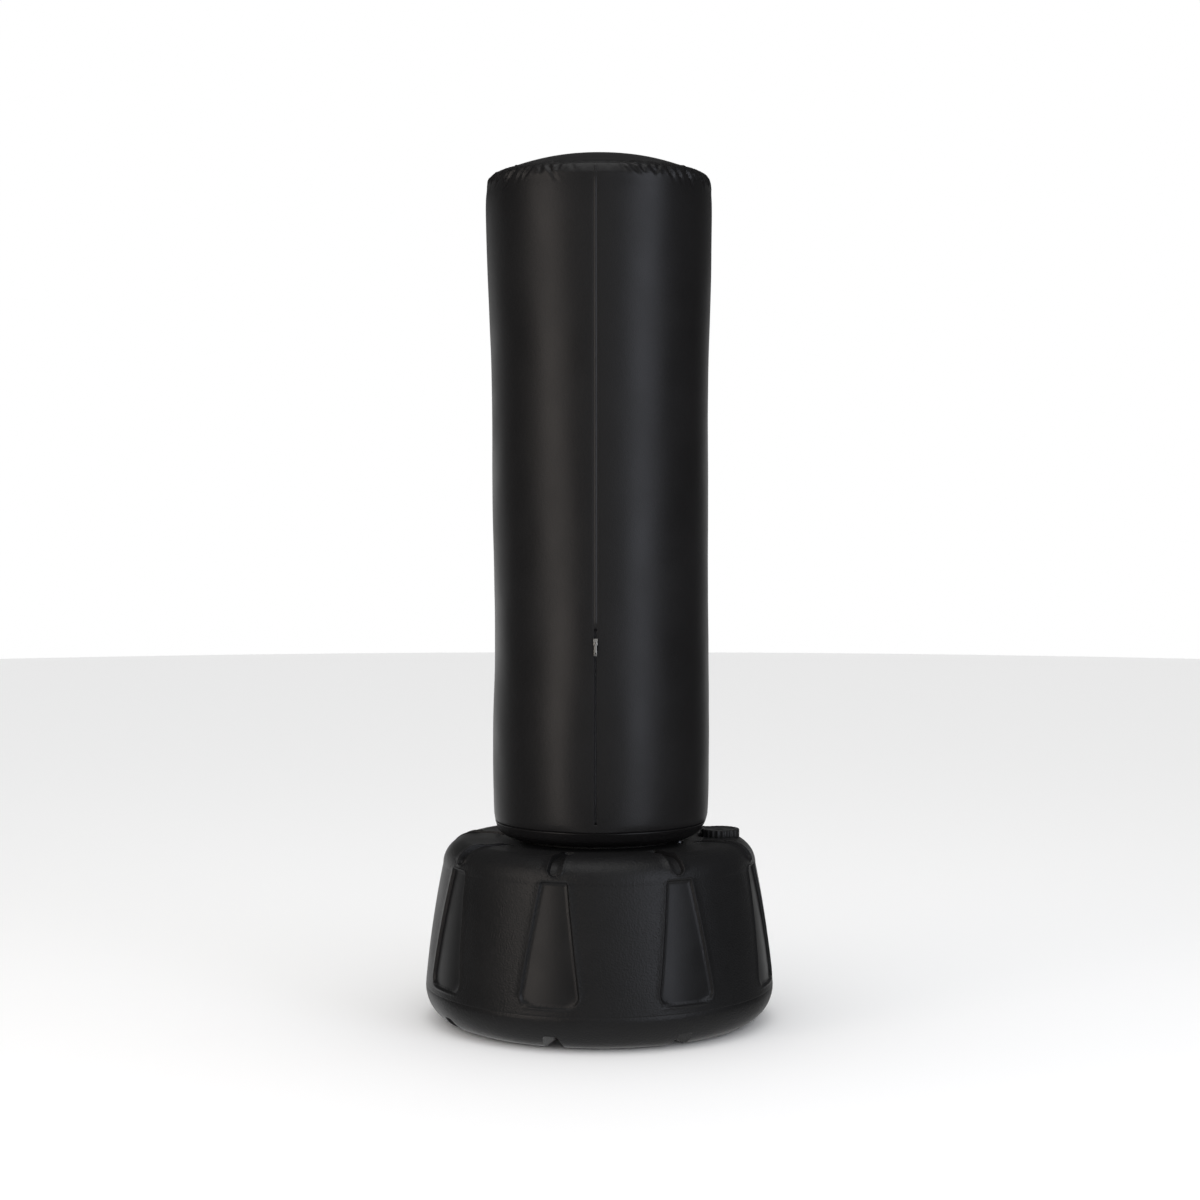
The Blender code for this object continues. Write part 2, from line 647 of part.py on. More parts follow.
def make_zip():
    face = -COVER_SIDE[1][0]
    length = ZIP_TOP_HEIGHT - ZIP_BOTTOM_HEIGHT
    middle = (ZIP_TOP_HEIGHT + ZIP_BOTTOM_HEIGHT) / 2
    tape_y = face + COVER_WALL + 0.0017
    coil_y = face + COIL_THICKNESS / 2
    for side, name in ((-1, "left"), (1, "right")):
        tape_x = side * (TAPE_WIDTH / 2 + GAP)
        box(f"zip_tape_{name}", (TAPE_WIDTH, TAPE_THICKNESS, length + 4 * STOP_HEIGHT), (tape_x, tape_y, middle), TAPE)
        coil_x = side * (COIL_WIDTH / 2 + GAP / 2)
        box(f"zip_coil_{name}", (COIL_WIDTH, COIL_THICKNESS, length), (coil_x, coil_y, middle), TAPE)
    stop_size = (2 * COIL_WIDTH + GAP, COIL_THICKNESS, STOP_HEIGHT - 2 * GAP)
    box("zip_top_stop", stop_size, (0, coil_y, ZIP_TOP_HEIGHT + STOP_HEIGHT / 2), STEEL)
    box("zip_bottom_stop", stop_size, (0, coil_y, ZIP_BOTTOM_HEIGHT - STOP_HEIGHT / 2), STEEL)
    make_slider_and_pull(face)


def make_slider_and_pull(face):
    """The slider carries a bridge pin, and the pull hangs from it by its eye."""
    thickness = SLIDER_SIZE[1]
    front = face - GAP - thickness
    slider = box("zip_slider", SLIDER_SIZE, (0, front + thickness / 2, SLIDER_HEIGHT), STEEL)
    post_size = (0.0012, PULL_HINGE_OFFSET + 0.0014, 0.0030)
    post_gap = 0.0003
    for side, name in ((-1, "left"), (1, "right")):
        post_x = side * (PULL_WIDTH / 2 + post_gap + post_size[0] / 2)
        post_y = front - post_size[1] / 2 + 0.0004
        post = box(f"bridge_post_{name}", post_size, (post_x, post_y, PULL_HINGE_HEIGHT), STEEL, CUTTERS)
        combine(slider, post, "UNION")
    hinge = Vector((0, front - PULL_HINGE_OFFSET, PULL_HINGE_HEIGHT))
    across = Matrix.Rotation(math.pi / 2, 4, "Y")
    pin = rod("bridge_pin", BRIDGE_RADIUS, PULL_WIDTH + 0.0018, 12, Matrix.Translation(hinge) @ across, STEEL, CUTTERS)
    combine(slider, pin, "UNION")
    middle = (PULL_EYE - PULL_LENGTH) / 2
    pull = box("zip_pull", (PULL_WIDTH, 2 * PULL_THICKNESS, PULL_EYE + PULL_LENGTH), (0, 0, middle), STEEL)
    thin_size = (2 * PULL_WIDTH, PULL_THICKNESS, PULL_LENGTH)
    thinning = box("pull_thinning", thin_size, (0, -PULL_THICKNESS, -PULL_LENGTH / 2 - 0.003), STEEL, CUTTERS)
    combine(pull, thinning)
    bore = rod("pull_bore", PULL_BORE_RADIUS, 2 * PULL_WIDTH, 14, across, STEEL, CUTTERS)
    combine(pull, bore)
    for obj in (pull, thinning, bore):
        obj.location = hinge


make_base_tank()
make_ballast()
make_cap()
make_cap_gasket()
make_vent_screw()
make_neck_washer()
make_core()
make_foam()
make_cover()
make_drawcord()
make_zip()
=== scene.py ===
# %% [markdown]
# # A free-standing punching bag, dressed for its portrait
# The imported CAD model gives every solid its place. This script keeps those places and makes what the
# eye sees: the moulded tank, the padded cover with its gathered seam, and the small hardware. It
# starts by loading the frame and noting its box, because the finished looks have to fit that box.

# %% Load the frame
import functools
import math
import random

import bmesh
import bpy
from mathutils import Matrix, Vector, noise


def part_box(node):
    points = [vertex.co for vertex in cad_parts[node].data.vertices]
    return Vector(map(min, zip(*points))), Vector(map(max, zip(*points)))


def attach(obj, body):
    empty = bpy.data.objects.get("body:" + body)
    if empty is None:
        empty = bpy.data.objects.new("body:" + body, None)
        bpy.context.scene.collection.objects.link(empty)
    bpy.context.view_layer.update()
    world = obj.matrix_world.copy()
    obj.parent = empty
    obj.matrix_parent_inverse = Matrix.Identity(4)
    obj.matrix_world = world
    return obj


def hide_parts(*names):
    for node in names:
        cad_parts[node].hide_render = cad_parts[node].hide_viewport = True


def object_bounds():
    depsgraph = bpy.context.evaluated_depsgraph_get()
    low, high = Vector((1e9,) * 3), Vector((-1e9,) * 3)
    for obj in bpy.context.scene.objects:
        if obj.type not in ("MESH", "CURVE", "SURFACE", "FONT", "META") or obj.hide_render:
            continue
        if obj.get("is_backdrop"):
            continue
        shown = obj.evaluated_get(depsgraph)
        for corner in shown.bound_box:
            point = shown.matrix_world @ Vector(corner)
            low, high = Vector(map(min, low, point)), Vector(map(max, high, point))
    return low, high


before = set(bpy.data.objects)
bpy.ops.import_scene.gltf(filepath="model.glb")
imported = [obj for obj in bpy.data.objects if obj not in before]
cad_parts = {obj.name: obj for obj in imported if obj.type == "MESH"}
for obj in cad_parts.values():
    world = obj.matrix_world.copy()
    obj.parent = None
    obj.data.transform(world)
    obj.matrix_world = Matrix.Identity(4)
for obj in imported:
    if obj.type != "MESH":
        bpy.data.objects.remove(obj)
cad_box = [list(corner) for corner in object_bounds()]
scene = bpy.context.scene

# %% [markdown]
# ## Colours and nodes
# Paint charts give colours as sRGB hex, and shaders want linear light, so one function turns the one
# into the other. A second small function adds a node with its settings and its links, and every
# material below is written with it.

# %% Colour and node helpers
def linear(code):
    """An sRGB colour such as #1A1B1D as linear red, green, blue and alpha."""
    channels = [int(code[i:i + 2], 16) / 255 for i in (1, 3, 5)]
    return (*[c / 12.92 if c <= 0.04045 else ((c + 0.055) / 1.055) ** 2.4 for c in channels], 1.0)


def add(tree, kind, links=None, **settings):
    """Adds one node. Settings are its properties, and links are socket values or sockets to join."""
    node = tree.nodes.new(kind)
    for key, value in settings.items():
        setattr(node, key, value)
    for key, value in (links or {}).items():
        if isinstance(value, bpy.types.NodeSocket):
            tree.links.new(value, node.inputs[key])
        else:
            node.inputs[key].default_value = value
    return node


def finish_named(name, colour, roughness, **more):
    """A new material: its tree, its Principled shader and the piece's own coordinates in metres."""
    material = bpy.data.materials.new(name)
    material.use_nodes = True
    tree = material.node_tree
    shader = tree.nodes["Principled BSDF"]
    shader.inputs["Base Color"].default_value = linear(colour)
    shader.inputs["Roughness"].default_value = roughness
    for key, value in more.items():
        shader.inputs[key.replace("_", " ").title().replace("Ior", "IOR")].default_value = value
    place = add(tree, "ShaderNodeTexCoord").outputs["Object"]
    return material, tree, shader, place


print("black vinyl in linear light:", [round(c, 4) for c in linear("#0F0E0F")])

# %% [markdown]
# ## Black vinyl
# The cover is calendered vinyl on a knit backing. Rollers press a fine leather grain into it, so it
# is satin and not glossy, and hands and gloves polish it unevenly. The grain is about 1 mm across.
# That is too fine to show from where the camera stands, so it is drawn at 2.2 mm. Small cells give the
# grain, and a broad noise varies the polish and the depth of the black.

# %% Vinyl
GRAIN = 0.0022
POLISH_PATCH = 0.16

vinyl, tree, shader, place = finish_named("calendered_vinyl_black", "#0F0E0F", 0.40, ior=1.52)
patches = add(tree, "ShaderNodeTexNoise", {"Vector": place, "Scale": 1 / POLISH_PATCH, "Detail": 4.0})
satin = add(tree, "ShaderNodeMapRange", {
    "Value": patches.outputs["Fac"], "From Min": 0.3, "From Max": 0.7, "To Min": 0.37, "To Max": 0.46,
})
tree.links.new(satin.outputs["Result"], shader.inputs["Roughness"])
shade = add(tree, "ShaderNodeValToRGB", {"Fac": patches.outputs["Fac"]})
shade.color_ramp.elements[0].color = linear("#0C0B0C")
shade.color_ramp.elements[1].color = linear("#131213")
tree.links.new(shade.outputs["Color"], shader.inputs["Base Color"])
grain = add(tree, "ShaderNodeTexVoronoi", {"Vector": place, "Scale": 1 / GRAIN, "Randomness": 1.0})
fibre = add(tree, "ShaderNodeTexNoise", {"Vector": place, "Scale": 1 / (3 * GRAIN), "Detail": 6.0})
pressed = add(tree, "ShaderNodeMath", {
    0: grain.outputs["Distance"], 1: fibre.outputs["Fac"],
}, operation="ADD")
emboss = add(tree, "ShaderNodeBump", {
    "Height": pressed.outputs["Value"], "Strength": 0.35, "Distance": 0.0003,
})
tree.links.new(emboss.outputs["Normal"], shader.inputs["Normal"])
print("vinyl grain, cells to the metre:", round(1 / GRAIN))

# %% [markdown]
# ## Black polyethylene
# The tank is rotationally moulded: powder melts against the inside of a hot steel mould and copies
# its blasted surface, so the skin has a pebble of about 3 mm. The panels come off smoother steel. The
# sculpted mesh carries an attribute, polished, that is 1 inside the panels, and it calms the pebble.

# %% Polyethylene
PEBBLE = 0.0032

polyethylene, tree, shader, place = finish_named("rotomoulded_polyethylene_black", "#0F0F10", 0.44, ior=1.51)
polished = add(tree, "ShaderNodeAttribute", attribute_name="polished").outputs["Fac"]
clouds = add(tree, "ShaderNodeTexNoise", {"Vector": place, "Scale": 9.0, "Detail": 5.0})
sheen = add(tree, "ShaderNodeMapRange", {
    "Value": clouds.outputs["Fac"], "From Min": 0.3, "From Max": 0.7, "To Min": 0.40, "To Max": 0.50,
})
smoother = add(tree, "ShaderNodeMath", {
    0: polished, 1: -0.05, 2: sheen.outputs["Result"],
}, operation="MULTIPLY_ADD")
tree.links.new(smoother.outputs["Value"], shader.inputs["Roughness"])
shade = add(tree, "ShaderNodeValToRGB", {"Fac": clouds.outputs["Fac"]})
shade.color_ramp.elements[0].color = linear("#0B0B0C")
shade.color_ramp.elements[1].color = linear("#141415")
tree.links.new(shade.outputs["Color"], shader.inputs["Base Color"])
pebble = add(tree, "ShaderNodeTexVoronoi", {"Vector": place, "Scale": 1 / PEBBLE}, feature="SMOOTH_F1")
relief = add(tree, "ShaderNodeMapRange", {"Value": polished, "To Min": 0.85, "To Max": 0.12})
emboss = add(tree, "ShaderNodeBump", {
    "Height": pebble.outputs["Distance"], "Strength": relief.outputs["Result"], "Distance": 0.0008,
})
tree.links.new(emboss.outputs["Normal"], shader.inputs["Normal"])
print("pebble, millimetres:", PEBBLE * 1000)

# %% [markdown]
# ## Plain finishes with one pattern each
# The rest share a recipe: a colour that wanders between two near tones, and a bump at the pattern's
# real size. Injection moulded plastic and rubber have a fine blast texture. Extruded tube has lines
# along its length. Foam has open cells, and knitted tape has ribs. The zip's stops are plated black.
# One function writes them all, and a stretch along one axis turns round speckle into lines.

# %% Finishes from one recipe
def patterned(name, dark, light, roughness, size, depth, stretch=(1, 1, 1), cells=False, **more):
    """A material whose colour and bump follow speckle or cells of one real size."""
    material, tree, shader, place = finish_named(name, dark, roughness, **more)
    squeezed = add(tree, "ShaderNodeMapping", {"Vector": place, "Scale": [1 / s for s in stretch]})
    if cells:
        speckle = add(tree, "ShaderNodeTexVoronoi", {"Vector": squeezed.outputs["Vector"], "Scale": 1 / size})
        height = speckle.outputs["Distance"]
    else:
        speckle = add(tree, "ShaderNodeTexNoise", {
            "Vector": squeezed.outputs["Vector"], "Scale": 1 / size, "Detail": 3.0,
        })
        height = speckle.outputs["Fac"]
    tones = add(tree, "ShaderNodeValToRGB", {"Fac": height})
    tones.color_ramp.elements[0].color = linear(dark)
    tones.color_ramp.elements[1].color = linear(light)
    tree.links.new(tones.outputs["Color"], shader.inputs["Base Color"])
    relief = add(tree, "ShaderNodeBump", {"Height": height, "Strength": 0.5, "Distance": depth})
    tree.links.new(relief.outputs["Normal"], shader.inputs["Normal"])
    return material


cap_plastic = patterned("moulded_polypropylene_black", "#161617", "#202021", 0.42, 0.0015, 0.0002, ior=1.49)
core_plastic = patterned(
    "extruded_polyethylene_dark_grey", "#303134", "#3C3D41", 0.45, 0.004, 0.0002,
    stretch=(1, 1, 12), ior=1.51)
rubber = patterned("moulded_rubber_black", "#171717", "#222222", 0.78, 0.0009, 0.0002, ior=1.52)
foam = patterned("open_cell_foam_grey", "#6E7075", "#8C8E94", 0.95, 0.0024, 0.0012, cells=True, ior=1.45)
sand = patterned("dry_silica_sand", "#8A7757", "#CDBB94", 0.92, 0.0012, 0.0006, cells=True, ior=1.54)
zinc = patterned("zinc_plated_steel", "#A9ADB3", "#C9CCD0", 0.30, 0.0030, 0.00005, metallic=1.0)
nickel = patterned("nickel_plated_zinc_alloy", "#C9C7C2", "#E2E0DC", 0.22, 0.0035, 0.00005, metallic=1.0)
black_nickel = patterned(
    "black_nickel_plated_brass", "#1B1A1B", "#262526", 0.34, 0.0030, 0.00005, metallic=1.0)
tape = patterned(
    "knitted_polyester_tape_black", "#131314", "#2A2A2C", 0.85, 0.0009, 0.0003, stretch=(1, 1, 3))
nylon = patterned("nylon_monofilament_black", "#161618", "#2C2C2F", 0.36, 0.0012, 0.0001, ior=1.53)
braid = patterned("braided_polyester_cord_black", "#18181A", "#343437", 0.80, 0.0012, 0.0004, cells=True)
print("materials:", len(bpy.data.materials))

# %% [markdown]
# ## Bench tools
# Almost every hard piece here is turned, so the main tool spins an outline of radius and height about
# the bag's axis. A bevel then takes the edge off each sharp corner, as a mould does. The last tool
# makes the object, fixes its normals and hands it to the frame.

# %% Making, cutting and fitting
def block(size, centre):
    """A bmesh with one box in it."""
    bm = bmesh.new()
    bmesh.ops.create_cube(bm, size=1.0)
    bmesh.ops.scale(bm, vec=size, verts=bm.verts)
    bmesh.ops.translate(bm, vec=centre, verts=bm.verts)
    return bm


def chain(bm, points):
    """Vertices joined end to end, ready to spin or extrude."""
    verts = [bm.verts.new(point) for point in points]
    return verts + [bm.edges.new(pair) for pair in zip(verts, verts[1:])]


def spun(outline, steps, centre=(0, 0)):
    """A bmesh turned about a vertical axis from (radius, height) points."""
    bm = bmesh.new()
    points = [(radius, 0, height) for radius, height in outline]
    geometry = chain(bm, points)
    if outline[0][0] > 0 or outline[-1][0] > 0:
        ends = geometry[0], geometry[len(points) - 1]
        geometry.append(bm.edges.new(ends))
    bmesh.ops.spin(
        bm, geom=geometry, axis=(0, 0, 1), cent=(0, 0, 0), angle=math.tau, steps=steps, use_merge=True)
    bmesh.ops.remove_doubles(bm, verts=bm.verts, dist=1e-6)
    bmesh.ops.recalc_face_normals(bm, faces=bm.faces)
    bmesh.ops.translate(bm, verts=bm.verts, vec=(*centre, 0))
    return bm


def soften(bm, width, segments=2, sharper_than=30):
    """Rounds every edge that is sharper than this many degrees."""
    sharp = [
        edge for edge in bm.edges
        if edge.is_manifold and abs(edge.calc_face_angle()) > math.radians(sharper_than)
    ]
    bmesh.ops.bevel(
        bm, geom=sharp, offset=width, offset_type="OFFSET", affect="EDGES", segments=segments,
        profile=0.5, material=-1, clamp_overlap=True)


def piece(bm, name, material, crease=40, merge=1e-6):
    """Makes the object: merged, faces outwards, smooth apart from creases sharper than this."""
    bmesh.ops.remove_doubles(bm, verts=bm.verts, dist=merge)
    bmesh.ops.recalc_face_normals(bm, faces=bm.faces)
    mesh = bpy.data.meshes.new(name)
    bm.to_mesh(mesh)
    bm.free()
    mesh.materials.append(material)
    mesh.shade_smooth()
    mesh.set_sharp_from_angle(angle=math.radians(crease))
    obj = bpy.data.objects.new(name, mesh)
    scene.collection.objects.link(obj)
    return obj


def fit(obj, body, slot_name, *nodes):
    """The piece moves with a body and stands for these CAD nodes. The slot name is not used."""
    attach(obj, body)
    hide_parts(*nodes)
    print(f"{obj.name}: {len(obj.data.polygons)} faces")
    return obj


def joined(target, others, operation):
    """Adds or cuts other closed solids, then leaves plain mesh with no modifier on it."""
    for other in others:
        cut = target.modifiers.new("cut", "BOOLEAN")
        cut.operation = operation
        cut.solver = "MANIFOLD"
        cut.object = other
    result = bpy.data.meshes.new_from_object(target.evaluated_get(bpy.context.evaluated_depsgraph_get()))
    target.modifiers.clear()
    target.data = result
    for other in others:
        bpy.data.objects.remove(other, do_unlink=True)
    result.shade_smooth()
    return target


def refinish(obj, material, crease):
    """Gives a piece that was cut one material again, and its sharp edges."""
    obj.data.materials.clear()
    obj.data.materials.append(material)
    obj.data.set_sharp_from_angle(angle=math.radians(crease))


def thread(name, root_radius, tip_radius, root, crest, start, pitch, turns, steps_a_turn, centre=(0, 0)):
    """A helical thread ridge with sloping flanks: a small outline screwed up its axis."""
    bm = bmesh.new()
    low, high = -root / 2, root / 2
    outline = [(root_radius, low), (tip_radius, -crest / 2), (tip_radius, crest / 2), (root_radius, high)]
    face = bm.faces.new([bm.verts.new((radius, 0, start + height)) for radius, height in outline])
    steps = round(steps_a_turn * turns)
    bmesh.ops.spin(
        bm, geom=[face, *face.edges, *face.verts], axis=(0, 0, 1), cent=(0, 0, 0),
        dvec=(0, 0, pitch * turns / steps), angle=math.tau * turns, steps=steps)
    bmesh.ops.translate(bm, verts=bm.verts, vec=(*centre, 0))
    return piece(bm, name, core_plastic)


def around(angle, radius, height=0.0):
    """The point at an angle from -Y towards +X, at a radius from the axis."""
    return Vector((radius * math.sin(angle), -radius * math.cos(angle), height))


def ramp(value, start, end):
    """0 before start and 1 after end, with an eased slope between. Start may be above end."""
    t = min(max((value - start) / (end - start), 0.0), 1.0)
    return t * t * (3 - 2 * t)


# %% [markdown]
# ## The tank's skin
# The tank is a ring of eight equal bays. Each has a sunk, tapering panel on the wall and a
# U-shaped groove over the shoulder. Cutting those with Booleans leaves hard edges that no mould
# makes, so one bay is a grid whose points are moved, as clay would be. Its columns crowd together
# along the panel's slanting sides and its rows crowd at the panel's ends, so the edges stay crisp. The
# bay is then copied round eight times.

# %% Where the bay's rows run
BAYS = 8
BAY_ANGLE = math.radians(-14)
BAY_STEP = math.tau / BAYS
FOOT_RADIUS, BELLY_RADIUS, BELLY_HEIGHT = 0.290, 0.3553, 0.070
WALL_TOP, SHOULDER_RADIUS, PLATEAU = 0.316, 0.268, 0.367
RECESS_FLOOR, NECK_RADIUS = 0.3645, 0.104
PANEL_LOW, PANEL_HIGH, PANEL_HALF_LOW, PANEL_HALF_HIGH = 0.0855, 0.3235, 0.0635, 0.0275
GROOVE_HALF, GROOVE_DEPTH, GROOVE_INNER_END = 0.014, 0.009, 0.200
GROOVE_TIP = 0.017


def wall_radius(height):
    """The outside of the wall leans in and bulges a little as it rises."""
    up = (height - BELLY_HEIGHT) / 0.25
    return BELLY_RADIUS - 0.0214 * up - 0.0154 * up * up


def spaced(start, end, count):
    """Evenly spaced values, the first left out."""
    return [start + (end - start) * (i + 1) / count for i in range(count)]


def bay_rows():
    """(radius, height, half width of the feature there, distance up the shoulder) for each row."""
    rows = []
    for turn in [0, *spaced(0, math.pi / 2, 12)]:
        radius = FOOT_RADIUS + (BELLY_RADIUS - FOOT_RADIUS) * math.sin(turn)
        rows.append((radius, BELLY_HEIGHT * (1 - math.cos(turn)), -1.0))
    heights = [0.0708, 0.0716, 0.0724, 0.0735, 0.0763, 0.0792, 0.0806, 0.0818, 0.0828, 0.0838, 0.0846]
    heights += spaced(0.0846, 0.0960, 14) + spaced(0.0960, 0.120, 13) + spaced(0.120, 0.300, 14)
    heights += [0.306, 0.3112] + spaced(0.3112, 0.3275, 15) + [0.3290]
    shoulder_across = wall_radius(WALL_TOP) - SHOULDER_RADIUS
    shoulder_rise = PLATEAU - WALL_TOP
    rows += [(wall_radius(height), height, -1.0) for height in heights if height < WALL_TOP]
    first = (heights[-1] - WALL_TOP) / shoulder_rise * 0.9
    turns = [0.0] + spaced(0.0, first, 9) + spaced(first, 0.62, 14) + spaced(0.62, math.pi / 2, 13)
    for turn in turns:
        radius = SHOULDER_RADIUS + shoulder_across * math.cos(turn)
        rows.append((radius, WALL_TOP + shoulder_rise * math.sin(turn), turn * shoulder_rise))
    beyond = math.pi / 2 * shoulder_rise
    radii = spaced(SHOULDER_RADIUS, 0.2155, 8) + spaced(0.2155, 0.2065, 6)
    radii += spaced(0.2065, 0.1955, 9) + spaced(0.1955, NECK_RADIUS, 8)
    for radius in radii:
        height = RECESS_FLOOR + (PLATEAU - RECESS_FLOOR) * ramp(radius, 0.2075, 0.2145)
        rows.append((radius, height, beyond + SHOULDER_RADIUS - radius))
    return rows


def feature_half(height, up_shoulder):
    """Half the width of the feature that the columns follow: channel, then panel, then groove."""
    if up_shoulder > 0.0085:
        return GROOVE_HALF + (PANEL_HALF_HIGH - GROOVE_HALF) * ramp(up_shoulder, GROOVE_TIP, 0.0085)
    if height < PANEL_LOW:
        return 0.020 + (PANEL_HALF_LOW - 0.020) * ramp(height, 0.030, 0.079)
    along = min((height - PANEL_LOW) / (PANEL_HIGH - PANEL_LOW), 1.0)
    return PANEL_HALF_LOW + (PANEL_HALF_HIGH - PANEL_HALF_LOW) * along


ROWS = bay_rows()
print("rows up the bay:", len(ROWS))

# %% [markdown]
# The panel and the groove are each described by a signed distance: how far a point is outside the
# outline, or, with a minus sign, inside it. A rounded corner is then only the length of two distances
# taken together, and the depth of the press is a function of one number. Each edge has a fine raised
# lip outside it, so it shows two bright lines where it faces the light.

# %% How deep the mould presses
PANEL_CORNER = 0.028
PANEL_STEP = 0.0050
EDGE_OFFSETS = [
    -0.0098, -0.0076, -0.0060, -0.0048, -0.0039, -0.0031, -0.0023, -0.0015, -0.0007,
    0.0, 0.0008, 0.0020, 0.0038,
]
INSIDE_COLUMNS = 4
OUTSIDE_COLUMNS = 7
HALF_COLUMNS = INSIDE_COLUMNS + len(EDGE_OFFSETS) - 1 + OUTSIDE_COLUMNS


def meet(first, second, corner):
    """The signed distance to the overlap of two sides, with a round corner."""
    if first > -corner and second > -corner:
        return math.hypot(first + corner, second + corner) - corner
    return max(first, second)


def panel_distance(across, height):
    along = (height - PANEL_LOW) / (PANEL_HIGH - PANEL_LOW)
    side = abs(across) - (PANEL_HALF_LOW + (PANEL_HALF_HIGH - PANEL_HALF_LOW) * along)
    return meet(meet(side, PANEL_LOW - height, PANEL_CORNER), height - PANEL_HIGH, 0.004)


def groove_distance(across, up_shoulder, radius):
    centre = GROOVE_TIP + GROOVE_HALF
    side = abs(across) - GROOVE_HALF
    if up_shoulder < centre:
        side = math.hypot(across, centre - up_shoulder) - GROOVE_HALF
    return meet(side, GROOVE_INNER_END - radius, 0.006)


def press_depth(across, radius, height, up_shoulder):
    """How far the mould pushes the skin in here, in metres."""
    depth = 0.0
    if up_shoulder < 0.010:
        inside = -panel_distance(across, height)
        depth += PANEL_STEP * (0.8 * ramp(inside, 0.0, 0.0034) + 0.2 * ramp(inside, 0.0026, 0.0090))
        depth -= 0.0011 * ramp(inside, -0.0044, -0.0014) * (1 - ramp(inside, -0.0010, 0.0006))
        depth += 0.0007 * (1 - ramp(abs(height - 0.0712), 0.0002, 0.0014))
    elif up_shoulder > 0.0:
        full = GROOVE_DEPTH
        if radius < SHOULDER_RADIUS:
            full = height - (PLATEAU - GROOVE_DEPTH)
        inside = -groove_distance(across, up_shoulder, radius)
        depth += full * (0.86 * ramp(inside, -0.0002, 0.0026) + 0.14 * ramp(inside, 0.002, GROOVE_HALF))
        if up_shoulder < 0.090:
            depth -= 0.0019 * ramp(inside, -0.0046, -0.0016) * (1 - ramp(inside, -0.0012, 0.0004))
    return depth


def column_offset(column, half_width, half_bay):
    """Where a column of the grid lies across the bay, from its middle."""
    edges = [half_width + offset for offset in EDGE_OFFSETS]
    line = [0.0, *spaced(0.0, edges[0], INSIDE_COLUMNS)[:-1], *edges]
    line += spaced(edges[-1], half_bay, OUTSIDE_COLUMNS)
    return math.copysign(line[abs(column)], column)


print("columns round the tank:", 2 * HALF_COLUMNS * BAYS)

# %% [markdown]
# Now the grid takes its shape. Each point is placed on the plain tank first, then pushed in along
# the surface's normal. The normal comes from the rows on either side.

# %% Sculpt one bay and copy it round
def bay_point(row, column):
    """A point of the bay, sunk by the mould, with the bay's middle on -Y."""
    radius, height, up_shoulder = ROWS[row]
    half_bay = radius * BAY_STEP / 2
    across = column_offset(column, feature_half(height, up_shoulder), half_bay)
    before, after = ROWS[max(row - 1, 0)], ROWS[min(row + 1, len(ROWS) - 1)]
    along = Vector((after[0] - before[0], after[1] - before[1])).normalized()
    sunk = press_depth(across, radius, height, up_shoulder)
    return around(across / radius, radius - along.y * sunk, height + along.x * sunk)


def tank_skin():
    """The outside of the tank from the foot's edge to the neck, open at both ends."""
    bm = bmesh.new()
    bmesh.ops.create_grid(bm, x_segments=2 * HALF_COLUMNS, y_segments=len(ROWS) - 1, size=1.0)
    for vert in bm.verts:
        column = round(vert.co.x * HALF_COLUMNS)
        row = round((vert.co.y + 1) / 2 * (len(ROWS) - 1))
        vert.co = bay_point(row, column)
    bmesh.ops.rotate(bm, verts=bm.verts, cent=(0, 0, 0), matrix=Matrix.Rotation(BAY_ANGLE, 3, "Z"))
    bmesh.ops.spin(
        bm, geom=[*bm.verts, *bm.edges, *bm.faces], axis=(0, 0, 1), cent=(0, 0, 0),
        angle=math.tau, steps=BAYS, use_duplicate=True)
    bmesh.ops.remove_doubles(bm, verts=bm.verts, dist=1e-5)
    return bm


def loop_near(bm, radius, height):
    """The open edge loop closest to a radius and a height."""
    near = 0.002
    return [
        edge for edge in bm.edges if edge.is_boundary and all(
            abs(vert.co.xy.length - radius) < near and abs(vert.co.z - height) < near for vert in edge.verts)
    ]


def grown(bm, loop, scale, rise):
    """Extrudes an open loop, scales it about the axis and moves it up or down."""
    made = bmesh.ops.extrude_edge_only(bm, edges=loop)["geom"]
    verts = [part for part in made if isinstance(part, bmesh.types.BMVert)]
    bmesh.ops.scale(bm, vec=(scale, scale, 1), verts=verts)
    bmesh.ops.translate(bm, vec=(0, 0, rise), verts=verts)
    return [part for part in made if isinstance(part, bmesh.types.BMEdge) and part.is_boundary], verts


skin = tank_skin()
print("points in the skin:", len(skin.verts))

# %% [markdown]
# The open skin grows a neck at the top and a sole at the bottom, and each ends in one merged point,
# so the solid is closed. The thread on the neck is a separate screw that a Boolean joins on. Then
# come the cuts: the channels between the feet, the cavity, the fill hole with the seat of its cap, and
# the vent.

# %% Close the tank and cut its openings
FILL_ANGLE = BAY_ANGLE + 2.5 * BAY_STEP
FILL_PLACE = around(FILL_ANGLE, 0.250)
VENT_PLACE = around(math.radians(67.5), 0.1765)
SEAT_HEIGHT = 0.360

rim = loop_near(skin, NECK_RADIUS, RECESS_FLOOR)
for scale, rise in ((1.0, 0.0015), (0.995, 0.0015), (1.0, 0.0945), (0.985, 0.0035), (0.955, 0.0025)):
    rim, tip = grown(skin, rim, scale, rise)
rim, tip = grown(skin, rim, 0.0, 0.0)
bmesh.ops.pointmerge(skin, verts=tip, merge_co=(0, 0, tip[0].co.z))
rim = loop_near(skin, FOOT_RADIUS, 0.0)
rim, tip = grown(skin, rim, 0.8, 0.0)
rim, tip = grown(skin, rim, 0.0, 0.0)
bmesh.ops.pointmerge(skin, verts=tip, merge_co=(0, 0, 0))
tank = piece(skin, "tank_moulding", polyethylene, crease=50)


